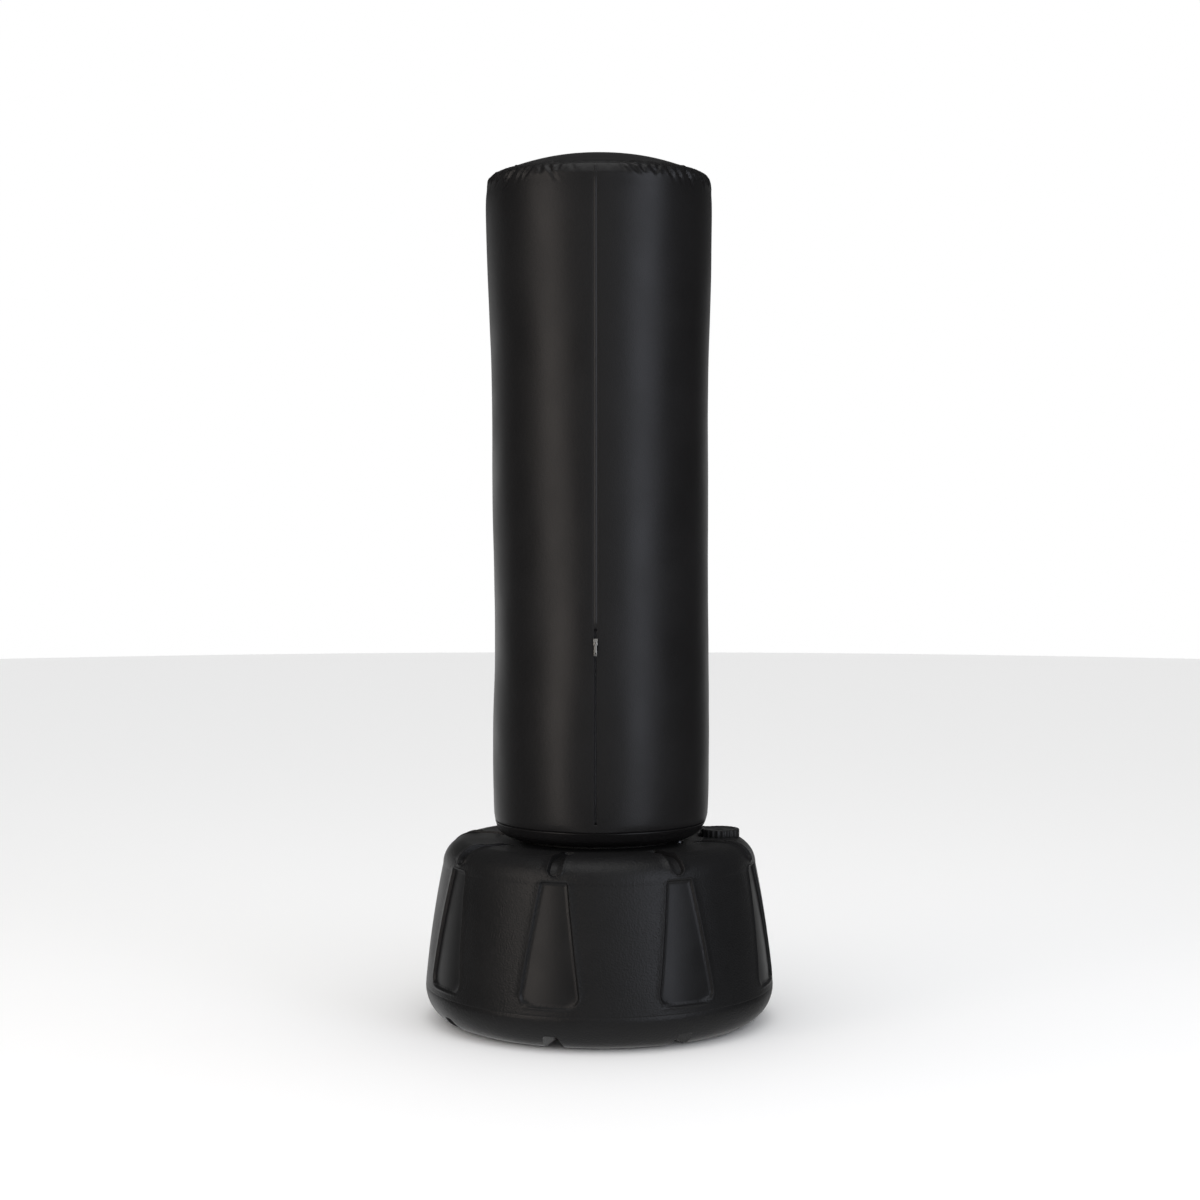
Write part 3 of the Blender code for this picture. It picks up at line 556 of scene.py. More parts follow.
def channel(index):
    """A cutter for the channel between two feet, wider at the floor and with its edges rounded."""
    bm = block((0.036, 0.16, 0.040), (0, -0.315, 0.010))
    for vert in bm.verts:
        vert.co.x *= 1.35 if vert.co.z < 0 else 0.78
    soften(bm, 0.004, segments=3)
    bmesh.ops.rotate(
        bm, verts=bm.verts, cent=(0, 0, 0), matrix=Matrix.Rotation(BAY_ANGLE + index * BAY_STEP, 3, "Z"))
    return piece(bm, f"channel_{index}", polyethylene)


ridge = thread("neck_ridge", 0.102, 0.1095, 0.008, 0.004, 0.386, 0.025, 2.4, 96)
joined(tank, [ridge], "UNION")
cavity = piece(spun([
    (0, 0.042), (0.318, 0.042), (0.336, 0.060), (0.332, 0.160), (0.300, 0.316), (0.262, 0.345),
    (0.096, 0.345), (0.096, 0.456), (0, 0.456),
], 96), "cavity", polyethylene)
seat = piece(spun([
    (0, SEAT_HEIGHT), (0.0455, SEAT_HEIGHT), (0.0465, 0.361), (0.0467, 0.3655), (0.0475, 0.3668),
    (0.049, 0.3674), (0.052, 0.375), (0, 0.375),
], 72, FILL_PLACE.xy), "seat", polyethylene)
fill_hole = piece(spun([
    (0, 0.33), (0.0295, 0.33), (0.0295, 0.3592), (0.0303, 0.3605), (0.0303, 0.37), (0, 0.37),
], 48, FILL_PLACE.xy), "fill_hole", polyethylene)
vent_hole = piece(
    spun([(0, 0.33), (0.0028, 0.33), (0.0028, 0.37), (0, 0.37)], 20, VENT_PLACE.xy), "vent_hole", rubber)
joined(tank, [channel(index) for index in range(BAYS)] + [cavity, seat, fill_hole, vent_hole], "DIFFERENCE")
print("tank after cutting:", len(tank.data.polygons), "faces")

# %% [markdown]
# The pebble is calmer inside the panels, so the mesh needs to know where they are. After the
# Booleans each point's own place still says which bay it is in and how far inside the panel, so the
# attribute is worked out from that.

# %% Mark the polished panels
def panel_polish(point):
    """1 inside a panel, 0 outside."""
    angle = math.atan2(point.x, -point.y) - BAY_ANGLE
    angle -= BAY_STEP * round(angle / BAY_STEP)
    if point.xy.length < 0.29 or point.z > 0.33:
        return 0.0
    return ramp(-panel_distance(angle * point.xy.length, point.z), 0.004, 0.009)


refinish(tank, polyethylene, 50)
layer = tank.data.attributes.new("polished", "FLOAT", "POINT")
layer.data.foreach_set("value", [panel_polish(vert.co) for vert in tank.data.vertices])
fit(tank, "base", "polyethylene", "base_tank")

# %% [markdown]
# ## Fill cap and gasket
# The cap is injection moulded with a ribbed rim to grip, a dished top and a coarse thread on its
# plug. Its rim is spun smooth with many steps, then every other group of columns is pulled in a little
# to make the ribs. The gasket is a flat rubber ring that rides with the cap's thread.

# %% Fill cap and gasket
CAP_RADIUS, CAP_TOP, CAP_UNDER, CAP_RIBS = 0.040, 0.3805, 0.3624, 22

bm = spun([
    (0, CAP_UNDER), (0.0382, CAP_UNDER), (0.0396, 0.3634), (CAP_RADIUS, 0.3650), (CAP_RADIUS, 0.3778),
    (0.0394, 0.3796), (0.0380, 0.3804), (0.0350, CAP_TOP), (0.0325, 0.3804), (0.0310, 0.3794),
    (0.0295, 0.3790), (0.0100, 0.3790), (0.0080, 0.3794), (0.0065, 0.3800), (0, 0.3801),
], CAP_RIBS * 8)
for vert in bm.verts:
    rib = 0.5 - 0.5 * math.cos(CAP_RIBS * math.atan2(vert.co.y, vert.co.x))
    pull = 0.0018 * ramp(vert.co.xy.length, 0.0355, 0.0385) * ramp(rib, 0.15, 0.75)
    vert.co.xy *= 1 - pull / max(vert.co.xy.length, 0.001)
bmesh.ops.translate(bm, verts=bm.verts, vec=(*FILL_PLACE.xy, 0))
cap = piece(bm, "ribbed_cap", cap_plastic, crease=50)
plug = piece(spun([
    (0, 0.3434), (0.0250, 0.3434), (0.0265, 0.3449), (0.0265, 0.3640), (0, 0.3640),
], 64, FILL_PLACE.xy), "plug", cap_plastic)
screw = thread("cap_thread", 0.0255, 0.0280, 0.0018, 0.0010, 0.3454, 0.004, 2.2, 60, FILL_PLACE.xy)
joined(cap, [plug, screw], "UNION")
refinish(cap, cap_plastic, 45)
fit(cap, "fill_cap", "cap_plastic", "fill_cap")


def washer(name, node, inner, outer, steps, centre, body, edge=0.0003):
    """A flat rubber ring, as thick as its CAD node, with its edges eased."""
    low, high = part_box(node)
    bm = spun([(inner, low.z), (outer, low.z), (outer, high.z), (inner, high.z)], steps, centre)
    soften(bm, edge)
    return fit(piece(bm, name, rubber), body, "black_rubber", node)


washer("cap_seal_ring", "cap_gasket", 0.0305, 0.036, 72, FILL_PLACE.xy, "cap_gasket")
washer("neck_seal_ring", "neck_washer", 0.1125, 0.160, 128, (0, 0), "neck_washer", edge=0.0008)
washer("vent_seal_ring", "vent_seal", 0.0027, 0.0055, 32, VENT_PLACE.xy, "base", edge=0.0002)

# %% [markdown]
# ## Screws
# Seven pan-head screws: one closes the vent, and six hold the threaded socket in the core. All are
# turned from one outline, and a cross-shaped cutter sinks the drive into each head. They are made
# upright at the origin, then turned in the mesh to where they go.

# %% Pan-head screws
SOCKET_SCREWS, SCREW_CIRCLE, SCREW_HEIGHT = 6, 0.1253, 0.438


def facing_out(angle, radius):
    """The placing matrix that points a screw or a drill outwards from the core."""
    turn = around(angle, 1.0).to_track_quat("Z", "Y").to_matrix().to_4x4()
    return Matrix.Translation(around(angle, radius, SCREW_HEIGHT)) @ turn


def pan_screw(name, place, head_radius, head_height, shank_radius, shank_length, body, slot_name, node):
    """A screw whose head sits on the local XY plane of a placing matrix, shank down."""
    bm = spun([
        (0, -shank_length), (shank_radius * 0.4, -shank_length), (shank_radius, -shank_length * 0.82),
        (shank_radius, 0), (head_radius * 0.96, 0), (head_radius, head_height * 0.10),
        (head_radius * 0.97, head_height * 0.45), (head_radius * 0.82, head_height * 0.80),
        (head_radius * 0.5, head_height * 0.97), (0, head_height),
    ], 32)
    obj = piece(bm, name, zinc)
    cross = bmesh.new()
    for size in ((head_radius * 1.05, head_radius * 0.28), (head_radius * 0.28, head_radius * 1.05)):
        made = bmesh.ops.create_cube(cross, size=1.0)["verts"]
        bmesh.ops.scale(cross, vec=(*size, head_height), verts=made)
        bmesh.ops.translate(cross, vec=(0, 0, head_height * 0.95), verts=made)
    cutter = piece(cross, "cross", zinc, merge=1e-9)
    drive = obj.modifiers.new("drive", "BOOLEAN")
    drive.solver = "EXACT"
    drive.use_self = True
    drive.object = cutter
    mesh = bpy.data.meshes.new_from_object(obj.evaluated_get(bpy.context.evaluated_depsgraph_get()))
    obj.modifiers.clear()
    obj.data = mesh
    bpy.data.objects.remove(cutter, do_unlink=True)
    mesh.materials.clear()
    mesh.materials.append(zinc)
    mesh.shade_smooth()
    mesh.set_sharp_from_angle(angle=math.radians(35))
    mesh.transform(place)
    return fit(obj, body, slot_name, node)


head_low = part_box("vent_screw")[1].z - 0.003
pan_screw(
    "vent_pan_screw", Matrix.Translation((*VENT_PLACE.xy, head_low)), 0.0055, 0.003, 0.0023, 0.0078,
    "base", "zinc_steel", "vent_screw")
for index in range(SOCKET_SCREWS):
    angle = math.tau * (index + 0.5) / SOCKET_SCREWS
    pan_screw(
        f"core_pan_screw_{index + 1}", facing_out(angle, SCREW_CIRCLE), 0.0055, 0.0022, 0.0022, 0.0105,
        "bag", "zinc_steel", f"socket_screw_{index + 1}")

# %% [markdown]
# ## Core
# The stiff core is an extruded tube, with a moulded, threaded socket at its foot and a push-in plug
# in its top. All three hide inside the padding, and show only when somebody looks up through the
# neck. They are turned with fine steps so that their thread and edges are smooth there.

# %% Core tube, socket and plug
tube_low, tube_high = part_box("core_tube")
bm = spun([(0.119, tube_low.z), (0.125, tube_low.z), (0.125, tube_high.z), (0.119, tube_high.z)], 96)
soften(bm, 0.0008)
tube = piece(bm, "core_pipe", core_plastic)
flange_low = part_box("core_socket")[0].z
bm = spun([
    (0.1125, flange_low), (0.160, flange_low), (0.160, flange_low + 0.005), (0.1187, flange_low + 0.005),
    (0.1187, 0.448), (0.1125, 0.448),
], 96)
soften(bm, 0.0008)
socket = piece(bm, "threaded_socket", core_plastic)
ridge = thread("socket_ridge", 0.1145, 0.107, 0.008, 0.004, 0.3975, 0.025, 1.7, 96)
joined(socket, [ridge], "UNION")
for target in (tube, socket):
    holes = []
    for index in range(SOCKET_SCREWS):
        bm = bmesh.new()
        bmesh.ops.create_cone(
            bm, cap_ends=True, segments=24, radius1=0.0026, radius2=0.0026, depth=0.04,
            matrix=facing_out(math.tau * (index + 0.5) / SOCKET_SCREWS, 0.121))
        holes.append(piece(bm, f"screw_hole_{index}", core_plastic))
    joined(target, holes, "DIFFERENCE")
for obj, body, node in ((tube, "bag", "core_tube"), (socket, "bag", "core_socket")):
    refinish(obj, core_plastic, 40)
    fit(obj, body, "core_plastic", node)
plug_low = tube_high.z + 0.0003
bm = spun([
    (0, plug_low), (0.1137, plug_low), (0.1137, plug_low - 0.040), (0.1187, plug_low - 0.040),
    (0.1187, plug_low), (0.125, plug_low), (0.125, plug_low + 0.004), (0, plug_low + 0.004),
], 96)
soften(bm, 0.0008)
fit(piece(bm, "core_cap", core_plastic), "bag", "core_plastic", "core_top_plug")

# %% [markdown]
# ## The shape of the bag
# Foam never holds a true cylinder. The bag is fullest under its top seam, waists in half way down
# and is fuller again near its foot, and the whole column leans a few millimetres. Stations give the
# radius and the lean by height, and a smooth curve runs through them.

# %% Stations up the bag
STATIONS = [
    (0.403, 0.2150, 0.0022), (0.418, 0.2182, 0.0028), (0.450, 0.2196, 0.0030), (0.520, 0.2206, 0.0032),
    (0.600, 0.2206, 0.0036), (0.730, 0.2180, 0.0050), (0.900, 0.2182, 0.0034), (1.060, 0.2195, 0.0016),
    (1.240, 0.2194, 0.0008), (1.340, 0.2212, 0.0006), (1.420, 0.2240, 0.0005), (1.500, 0.2266, 0.0002),
    (1.610, 0.2288, -0.0006), (1.655, 0.2289, -0.0010), (1.678, 0.2272, -0.0010), (1.692, 0.2238, -0.0006),
    (1.701, 0.2206, -0.0002), (1.707, 0.2175, 0.0),
]
SEAM_HEIGHT, SEAM_RADIUS, CROWN_HEIGHT = 1.707, 0.2175, 1.753
ZIP_LOW, ZIP_HIGH = 0.421, 0.804


@functools.lru_cache(maxsize=None)
def station(where, value):
    """A column of the bag's stations, read at any height."""
    return through(STATIONS, where, value)


def through(stations, where, value):
    """The smooth curve through (where, value, ...) stations, by column."""
    last = len(stations) - 1
    k = next((i for i in range(last) if where <= stations[i + 1][0]), last - 1)
    x0, x1 = stations[k][0], stations[k + 1][0]

    def slope(i):
        low, high = max(i - 1, 0), min(i + 1, last)
        return (stations[high][value] - stations[low][value]) / (stations[high][0] - stations[low][0])

    t = (where - x0) / (x1 - x0)
    y0, y1 = stations[k][value], stations[k + 1][value]
    m0, m1 = slope(k) * (x1 - x0), slope(k + 1) * (x1 - x0)
    return (
        (2 * t**3 - 3 * t**2 + 1) * y0 + (t**3 - 2 * t**2 + t) * m0
        + (3 * t**2 - 2 * t**3) * y1 + (t**3 - t**2) * m1)


print("radius half way up, mm:", round(through(STATIONS, 1.05, 1) * 1000, 1))

# %% [markdown]
# ## Puckers at the top seam
# A round top is sewn to a tube that is a little too long for it, so the thread gathers the vinyl
# into short slanting folds. Each fold is a narrow valley that starts at the seam and dies out a few
# centimetres down, and the vinyl between two valleys swells. The deepest are listed where they
# catch the light at the front. The rest are scattered with a fixed seed.

# %% Where the folds are
FOLD_REACH, FOLD_WIDTH = 0.050, 0.0040
folds_seed = random.Random(11)
FRONT_FOLDS = [
    (-75, -0.5, 0.032, 0.0026), (-66, -0.6, 0.036, 0.0030), (-57, -0.7, 0.040, 0.0034),
    (-50, -0.6, 0.036, 0.0034), (-45, -0.8, 0.046, 0.0040), (-39, -0.5, 0.038, 0.0034),
    (-34, -0.7, 0.032, 0.0032), (-29, 0.2, 0.024, 0.0024), (-25, 0.7, 0.040, 0.0044),
    (-18, -0.4, 0.024, 0.0022), (-12, 0.3, 0.020, 0.0018), (-5, -0.3, 0.016, 0.0013),
    (6, 0.3, 0.018, 0.0015), (12, 0.8, 0.024, 0.0022), (17, 1.0, 0.034, 0.0032),
    (23, 0.4, 0.022, 0.0024), (28, 0.7, 0.028, 0.0030), (33, -0.3, 0.022, 0.0026),
    (38, 0.6, 0.036, 0.0036), (44, 0.5, 0.040, 0.0036), (51, 0.6, 0.046, 0.0040),
    (57, 0.4, 0.036, 0.0032), (64, 0.5, 0.042, 0.0034), (73, 0.5, 0.034, 0.0028),
]
folds = [
    (math.radians(angle), slant, reach, depth, FOLD_WIDTH) for angle, slant, reach, depth in FRONT_FOLDS
]
angle = 82.0
while angle < 290:
    folds.append((
        math.radians(angle), folds_seed.uniform(-0.9, 0.9), folds_seed.uniform(0.018, 0.042),
        folds_seed.uniform(0.0016, 0.0036), folds_seed.uniform(0.0034, 0.0050)))
    angle += folds_seed.uniform(5, 9)


def puckers(angle, below, radius):
    """How far the folds move the skin outwards, at a distance below or in from the seam."""
    swell = 0.0
    if below > FOLD_REACH:
        return swell
    for where, slant, reach, depth, width in folds:
        turn = (angle - where + math.pi) % math.tau - math.pi
        across = turn * radius - slant * below
        if abs(across) > 4 * width or below > reach:
            continue
        grow = ramp(below, 0.0, 0.006) * (1 - ramp(below, reach * 0.35, reach))
        valley = math.exp(-(across / width) ** 2)
        shoulders = 0.55 * math.exp(-((abs(across) - 1.9 * width) / width) ** 2)
        swell += depth * grow * (shoulders - valley)
    return swell


print("folds round the seam:", len(folds))

# %% [markdown]
# The folds above are only a start. Real cloth buckles where it is longer than the line it is sewn
# to, so the skin near the seam is simulated. It starts as wide as the cloth was cut. A shape key then
# draws the pinned seam in over a few frames, pressure stands in for the foam, and gravity is off. The
# result is written back to the mesh, with a cap on how far a point may move. The cap is small, so the
# folds keep the places they were given.

# %% Let the gathered cloth buckle
GATHER_FRAMES = 8


def buckle(obj, takes_part, held, fullness, frames=20, cap=0.0024, pressure=0.1):
    """Simulates the part of a skin near its seam, and writes the result back to the mesh."""
    bm = bmesh.new()
    bm.from_mesh(obj.data)
    home = bm.verts.layers.int.new("home")
    for vert in bm.verts:
        vert[home] = vert.index
    bmesh.ops.delete(bm, geom=[vert for vert in bm.verts if not takes_part(vert.co)], context="VERTS")
    bm.verts.ensure_lookup_table()
    homes = [vert[home] for vert in bm.verts]
    mesh = bpy.data.meshes.new("gathered_cloth")
    bm.to_mesh(mesh)
    bm.free()
    cloth_piece = bpy.data.objects.new("gathered_cloth", mesh)
    scene.collection.objects.link(cloth_piece)
    start = [vert.co.copy() for vert in mesh.vertices]
    pins = cloth_piece.vertex_groups.new(name="pins")
    for vert in mesh.vertices:
        pins.add([vert.index], held(vert.co), "REPLACE")
    for vert in mesh.vertices:
        wide = fullness(vert.co)
        vert.co = (vert.co.x * wide, vert.co.y * wide, vert.co.z)
    cloth_piece.shape_key_add(name="cut")
    sewn = cloth_piece.shape_key_add(name="sewn")
    for place, key in zip(start, sewn.data):
        key.co = place
    cloth = cloth_piece.modifiers.new("cloth", "CLOTH")
    settings = cloth.settings
    settings.quality = 6
    settings.mass = 0.01
    settings.tension_stiffness = 20
    settings.compression_stiffness = 20
    settings.shear_stiffness = 8
    settings.bending_stiffness = 0.08
    settings.vertex_group_mass = "pins"
    settings.use_pressure = True
    settings.uniform_pressure_force = pressure
    settings.effector_weights.gravity = 0
    cloth.point_cache.frame_start = 1
    cloth.point_cache.frame_end = frames
    for frame_number in range(1, frames + 1):
        sewn.value = min(1.0, (frame_number - 1) / GATHER_FRAMES)
        scene.frame_set(frame_number)
    ended = cloth_piece.evaluated_get(bpy.context.evaluated_depsgraph_get()).data
    moved = [vert.co.copy() for vert in ended.vertices]
    farthest = 0.0
    for index, old, new in zip(homes, start, moved):
        step = new - old
        if step.length > cap:
            step *= cap / step.length
        farthest = max(farthest, step.length)
        obj.data.vertices[index].co = old + step
    scene.frame_set(1)
    bpy.data.objects.remove(cloth_piece, do_unlink=True)
    obj.data.update()
    print(f"{obj.name}: buckled {len(homes)} points, at most {farthest * 1000:.1f} mm")


print("cloth is simulated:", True)

# %% [markdown]
# ## The side of the cover
# A grid is wrapped round the bag and every point is placed: out at its station, along with the lean,
# in and out with the foam's own waviness and the puckers, and up into the welt of the front seam.
# Columns crowd at the seam so that the welt and the zip's lips are sharp. Below the welt the seam
# opens for the zip. The wall's thickness is added last.

# %% Side of the cover
COVER_WALL = 0.0018
CLOTH_FOOT, CUT_RADIUS = 1.610, 0.2284
SEAM_COLUMNS = [0.0007, 0.0015, 0.0023, 0.0029, 0.0036, 0.0046, 0.0060, 0.0080, 0.0110]
COVER_COLUMNS = 352


def cover_angle(column, columns, radius):
    """Columns sit close together near the front seam, and evenly everywhere else."""
    count = abs(column)
    if count == 0:
        return 0.0
    near = len(SEAM_COLUMNS)
    if count <= near:
        return math.copysign(SEAM_COLUMNS[count - 1] / radius, column)
    start = SEAM_COLUMNS[-1] / radius
    return math.copysign(start + (math.pi - start) * (count - near) / (columns / 2 - near), column)


def welt(across, height):
    """The front seam: a narrow raised welt between two shallow valleys, flat where the zip runs."""
    above_zip = ramp(height, ZIP_HIGH - 0.004, ZIP_HIGH + 0.012)
    ridge = 0.0006 * math.exp(-((across / 0.0010) ** 2)) * above_zip
    valley = 0.0008 * math.exp(-(((abs(across) - 0.0036) / 0.0016) ** 2)) * (0.35 + 0.65 * above_zip)
    return ridge - valley


def foam_wave(angle, height, radius):
    """The slow unevenness of the foam under the skin."""
    spot = Vector((radius * math.sin(angle), radius * math.cos(angle), height * 0.6)) * 6.0
    fine = Vector((radius * math.sin(angle), radius * math.cos(angle), height * 0.8)) * 17.0
    return 0.0009 * noise.noise(spot) + 0.00035 * noise.noise(fine + Vector((5, 3, 1)))


def wrapped(stops, place):
    """A grid wrapped right round the bag. Place gives the point for a column and a stop up the skin."""
    bm = bmesh.new()
    last = len(stops) - 1
    bmesh.ops.create_grid(bm, x_segments=COVER_COLUMNS, y_segments=last, size=1.0)
    for vert in bm.verts:
        column = round(vert.co.x * COVER_COLUMNS / 2)
        vert.co = place(column, stops[round((vert.co.y + 1) / 2 * last)])
    bmesh.ops.remove_doubles(bm, verts=bm.verts, dist=1e-5)
    return bm


def line_with_wall(skin):
    """Thickens a skin inwards to the vinyl and its backing."""
    wall = skin.modifiers.new("wall", "SOLIDIFY")
    wall.thickness = COVER_WALL
    wall.offset = -1


def side_point(column, height):
    radius = station(height, 1)
    angle = cover_angle(column, COVER_COLUMNS, radius)
    across = angle * radius
    away = 1 - math.exp(-((angle / 0.22) ** 2))
    zip_band = ramp(height, 0.86, 0.79) * (1 - away)
    radius += (0.2184 - radius) * zip_band
    radius += foam_wave(angle, height, radius) * away
    radius += puckers(angle, SEAM_HEIGHT - height, radius) * min(1.0, 0.3 + away)
    radius += welt(across, height) * ramp(height, SEAM_HEIGHT, SEAM_HEIGHT - 0.010)
    point = around(angle, radius, height)
    point.x += station(height, 2) * away
    return point


heights = [0.4033, *spaced(0.4033, 0.421, 5), *spaced(0.421, 0.804, 40), *spaced(0.804, 1.600, 50)]
heights += spaced(1.600, 1.640, 9) + spaced(1.640, 1.7067, 26)
bm = wrapped(heights, side_point)
slot_faces = [
    face for face in bm.faces
    if face.calc_center_median().y < 0 and abs(face.calc_center_median().x) < 0.0028
    and ZIP_LOW < face.calc_center_median().z < ZIP_HIGH
]
bmesh.ops.delete(bm, geom=slot_faces, context="FACES")
side = piece(bm, "cover_side_skin", vinyl, crease=60)


def side_pins(place):
    """1 where the side is held: along the seam, at the welt, and where the foam is full."""
    at_welt = 1 - ramp(abs(place.x), 0.004, 0.020) if place.y < 0 else 0.0
    return max(ramp(place.z, 1.7045, 1.7060), ramp(place.z, 1.665, 1.625), at_welt)


buckle(
    side, lambda place: place.z > CLOTH_FOOT, side_pins,
    lambda place: 1 + (CUT_RADIUS / place.xy.length - 1) * ramp(place.z, 1.665, 1.695))
line_with_wall(side)
fit(side, "bag", "vinyl", "cover_side")

# %% [markdown]
# ## The crown
# The round top piece swells over its foam pad. The same folds that gather the side run on over the
# seam, shorter and shallower. The seam itself is the line where both pieces dive in to the stitches.

# %% Crown of the cover
CROWN_STILL = 0.120


def crown_point(column, radius):
    angle = column / COVER_COLUMNS * math.tau
    share = radius / SEAM_RADIUS
    height = SEAM_HEIGHT + (1 - share ** 2.3) * (CROWN_HEIGHT - SEAM_HEIGHT)
    inward = SEAM_RADIUS - radius
    height += 0.8 * puckers(angle, inward * 1.4, SEAM_RADIUS) * ramp(inward, 0.0, 0.004)
    spot = around(angle, radius) * 9.0
    height += (0.0012 * noise.noise(spot) - 0.0006) * ramp(inward, 0.0, 0.05)
    return around(angle, radius, height)


radii = [0.0, *spaced(0.0, 0.150, 14), *spaced(0.150, SEAM_RADIUS - 0.0003, 30)]
bm = wrapped(radii, crown_point)
crown = piece(bm, "cover_crown_skin", vinyl, crease=60)
buckle(
    crown, lambda place: place.xy.length > CROWN_STILL,
    lambda place: max(ramp(place.xy.length, 0.2145, 0.2165), ramp(place.xy.length, 0.165, 0.135)),
    lambda place: 1 + 0.02 * ramp(place.xy.length, 0.185, 0.210))
line_with_wall(crown)
fit(crown, "bag", "vinyl", "cover_top")

# %% [markdown]
# ## The hem
# Under the bag the cover turns in and a cord in its hem draws it tight, so the vinyl gathers into
# soft radial folds that deepen towards the hem. The cord is a closed ring that follows the hem.

# %% Hem and drawcord
HEM_CORD_RADIUS = 0.187
HEM_STATIONS = [
    (0.0, 0.2150, 0.4027), (0.010, 0.2110, 0.3935), (0.022, 0.2050, 0.3838), (0.036, 0.1930, 0.3758),
    (0.050, 0.1810, 0.3722), (0.054, 0.1788, 0.3745),
]


def hem_point(column, along):
    radius = through(HEM_STATIONS, along, 1)
    height = through(HEM_STATIONS, along, 2)
    angle = column / COVER_COLUMNS * math.tau
    gather = math.sin(angle * 41 + 2.2 * noise.noise(around(angle, 2.0))) + 0.6 * math.sin(angle * 67 + 1.0)
    height += 0.0008 * gather * ramp(along, 0.002, 0.040)
    radius += 0.0007 * gather * ramp(along, 0.002, 0.030)
    point = around(angle, radius, max(height, 0.3712))
    point.x += 0.0022 * (1 - ramp(along, 0.0, 0.02)) * (1 - math.exp(-((angle / 0.22) ** 2)))
    return point


bm = wrapped([0.0, *spaced(0.0, 0.054, 22)], hem_point)
hem = piece(bm, "cover_hem_skin", vinyl, crease=60)
line_with_wall(hem)
fit(hem, "bag", "vinyl", "cover_bottom")
cord_low, cord_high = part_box("hem_drawcord")
cord_height = (cord_low.z + cord_high.z) / 2
bm = bmesh.new()
bmesh.ops.create_circle(
    bm, segments=14, radius=0.0019,
    matrix=Matrix.Translation((HEM_CORD_RADIUS, 0, cord_height)) @ Matrix.Rotation(math.pi / 2, 4, "X"))
bmesh.ops.spin(
    bm, geom=[*bm.verts, *bm.edges], axis=(0, 0, 1), cent=(0, 0, 0),
    angle=math.tau, steps=192, use_merge=True)
fit(piece(bm, "hem_cord", braid), "bag", "cord", "hem_drawcord")

# %% [markdown]
# ## Foam
# A sleeve of open-cell foam fills the space between core and cover, and a pad fills the crown. Only
# someone who opens the zip sees them. They are spun with the same outline as their solids, at a finer
# step.

# %% Foam sleeve and crown pad
sleeve_low, sleeve_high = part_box("foam_sleeve")
pad_low, pad_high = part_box("foam_top_pad")
FOAM_CLEARANCE = 0.0048
outline = [(0.130, sleeve_low.z), (0.203, sleeve_low.z)]
for height in spaced(0.405, 1.678, 40):
    outline.append((min(through(STATIONS, height, 1) - FOAM_CLEARANCE, 0.2225), height))
outline += [(0.2190, sleeve_high.z), (0.1255, sleeve_high.z), (0.1255, 0.456), (0.130, 0.450)]
bm = spun(outline, 96)
for vert in bm.verts:
    if vert.co.xy.length > 0.2:
        front = math.exp(-((math.atan2(vert.co.x, -vert.co.y) / 0.25) ** 2))
        vert.co.xy *= 1 - 0.008 * front
sleeve = fit(piece(bm, "foam_tube", foam), "bag", "foam", "foam_sleeve")
PAD_RADIUS, PAD_EDGE = 0.2125, 0.009
pad_outline = [(0, pad_low.z), (0.2110, pad_low.z)]
for step in range(13):
    radius = PAD_RADIUS * (1 - step / 12)
    rise = (1 - (radius / PAD_RADIUS) ** 2.3) * (pad_high.z - pad_low.z - PAD_EDGE)
    pad_outline.append((radius, pad_low.z + PAD_EDGE + rise))
pad = fit(piece(spun(pad_outline, 96), "foam_crown_pad", foam), "bag", "foam", "foam_top_pad")

# %% [markdown]
# ## Zip
# A coil zip: two nylon monofilaments wound as flat helices, sewn to knitted tapes behind the
# opening. A spin with a rise at every step winds each helix, and a scale flattens it. The slider is
# die-cast with a narrow waist and a bridge, and its pull is a tapered tag with an eye.

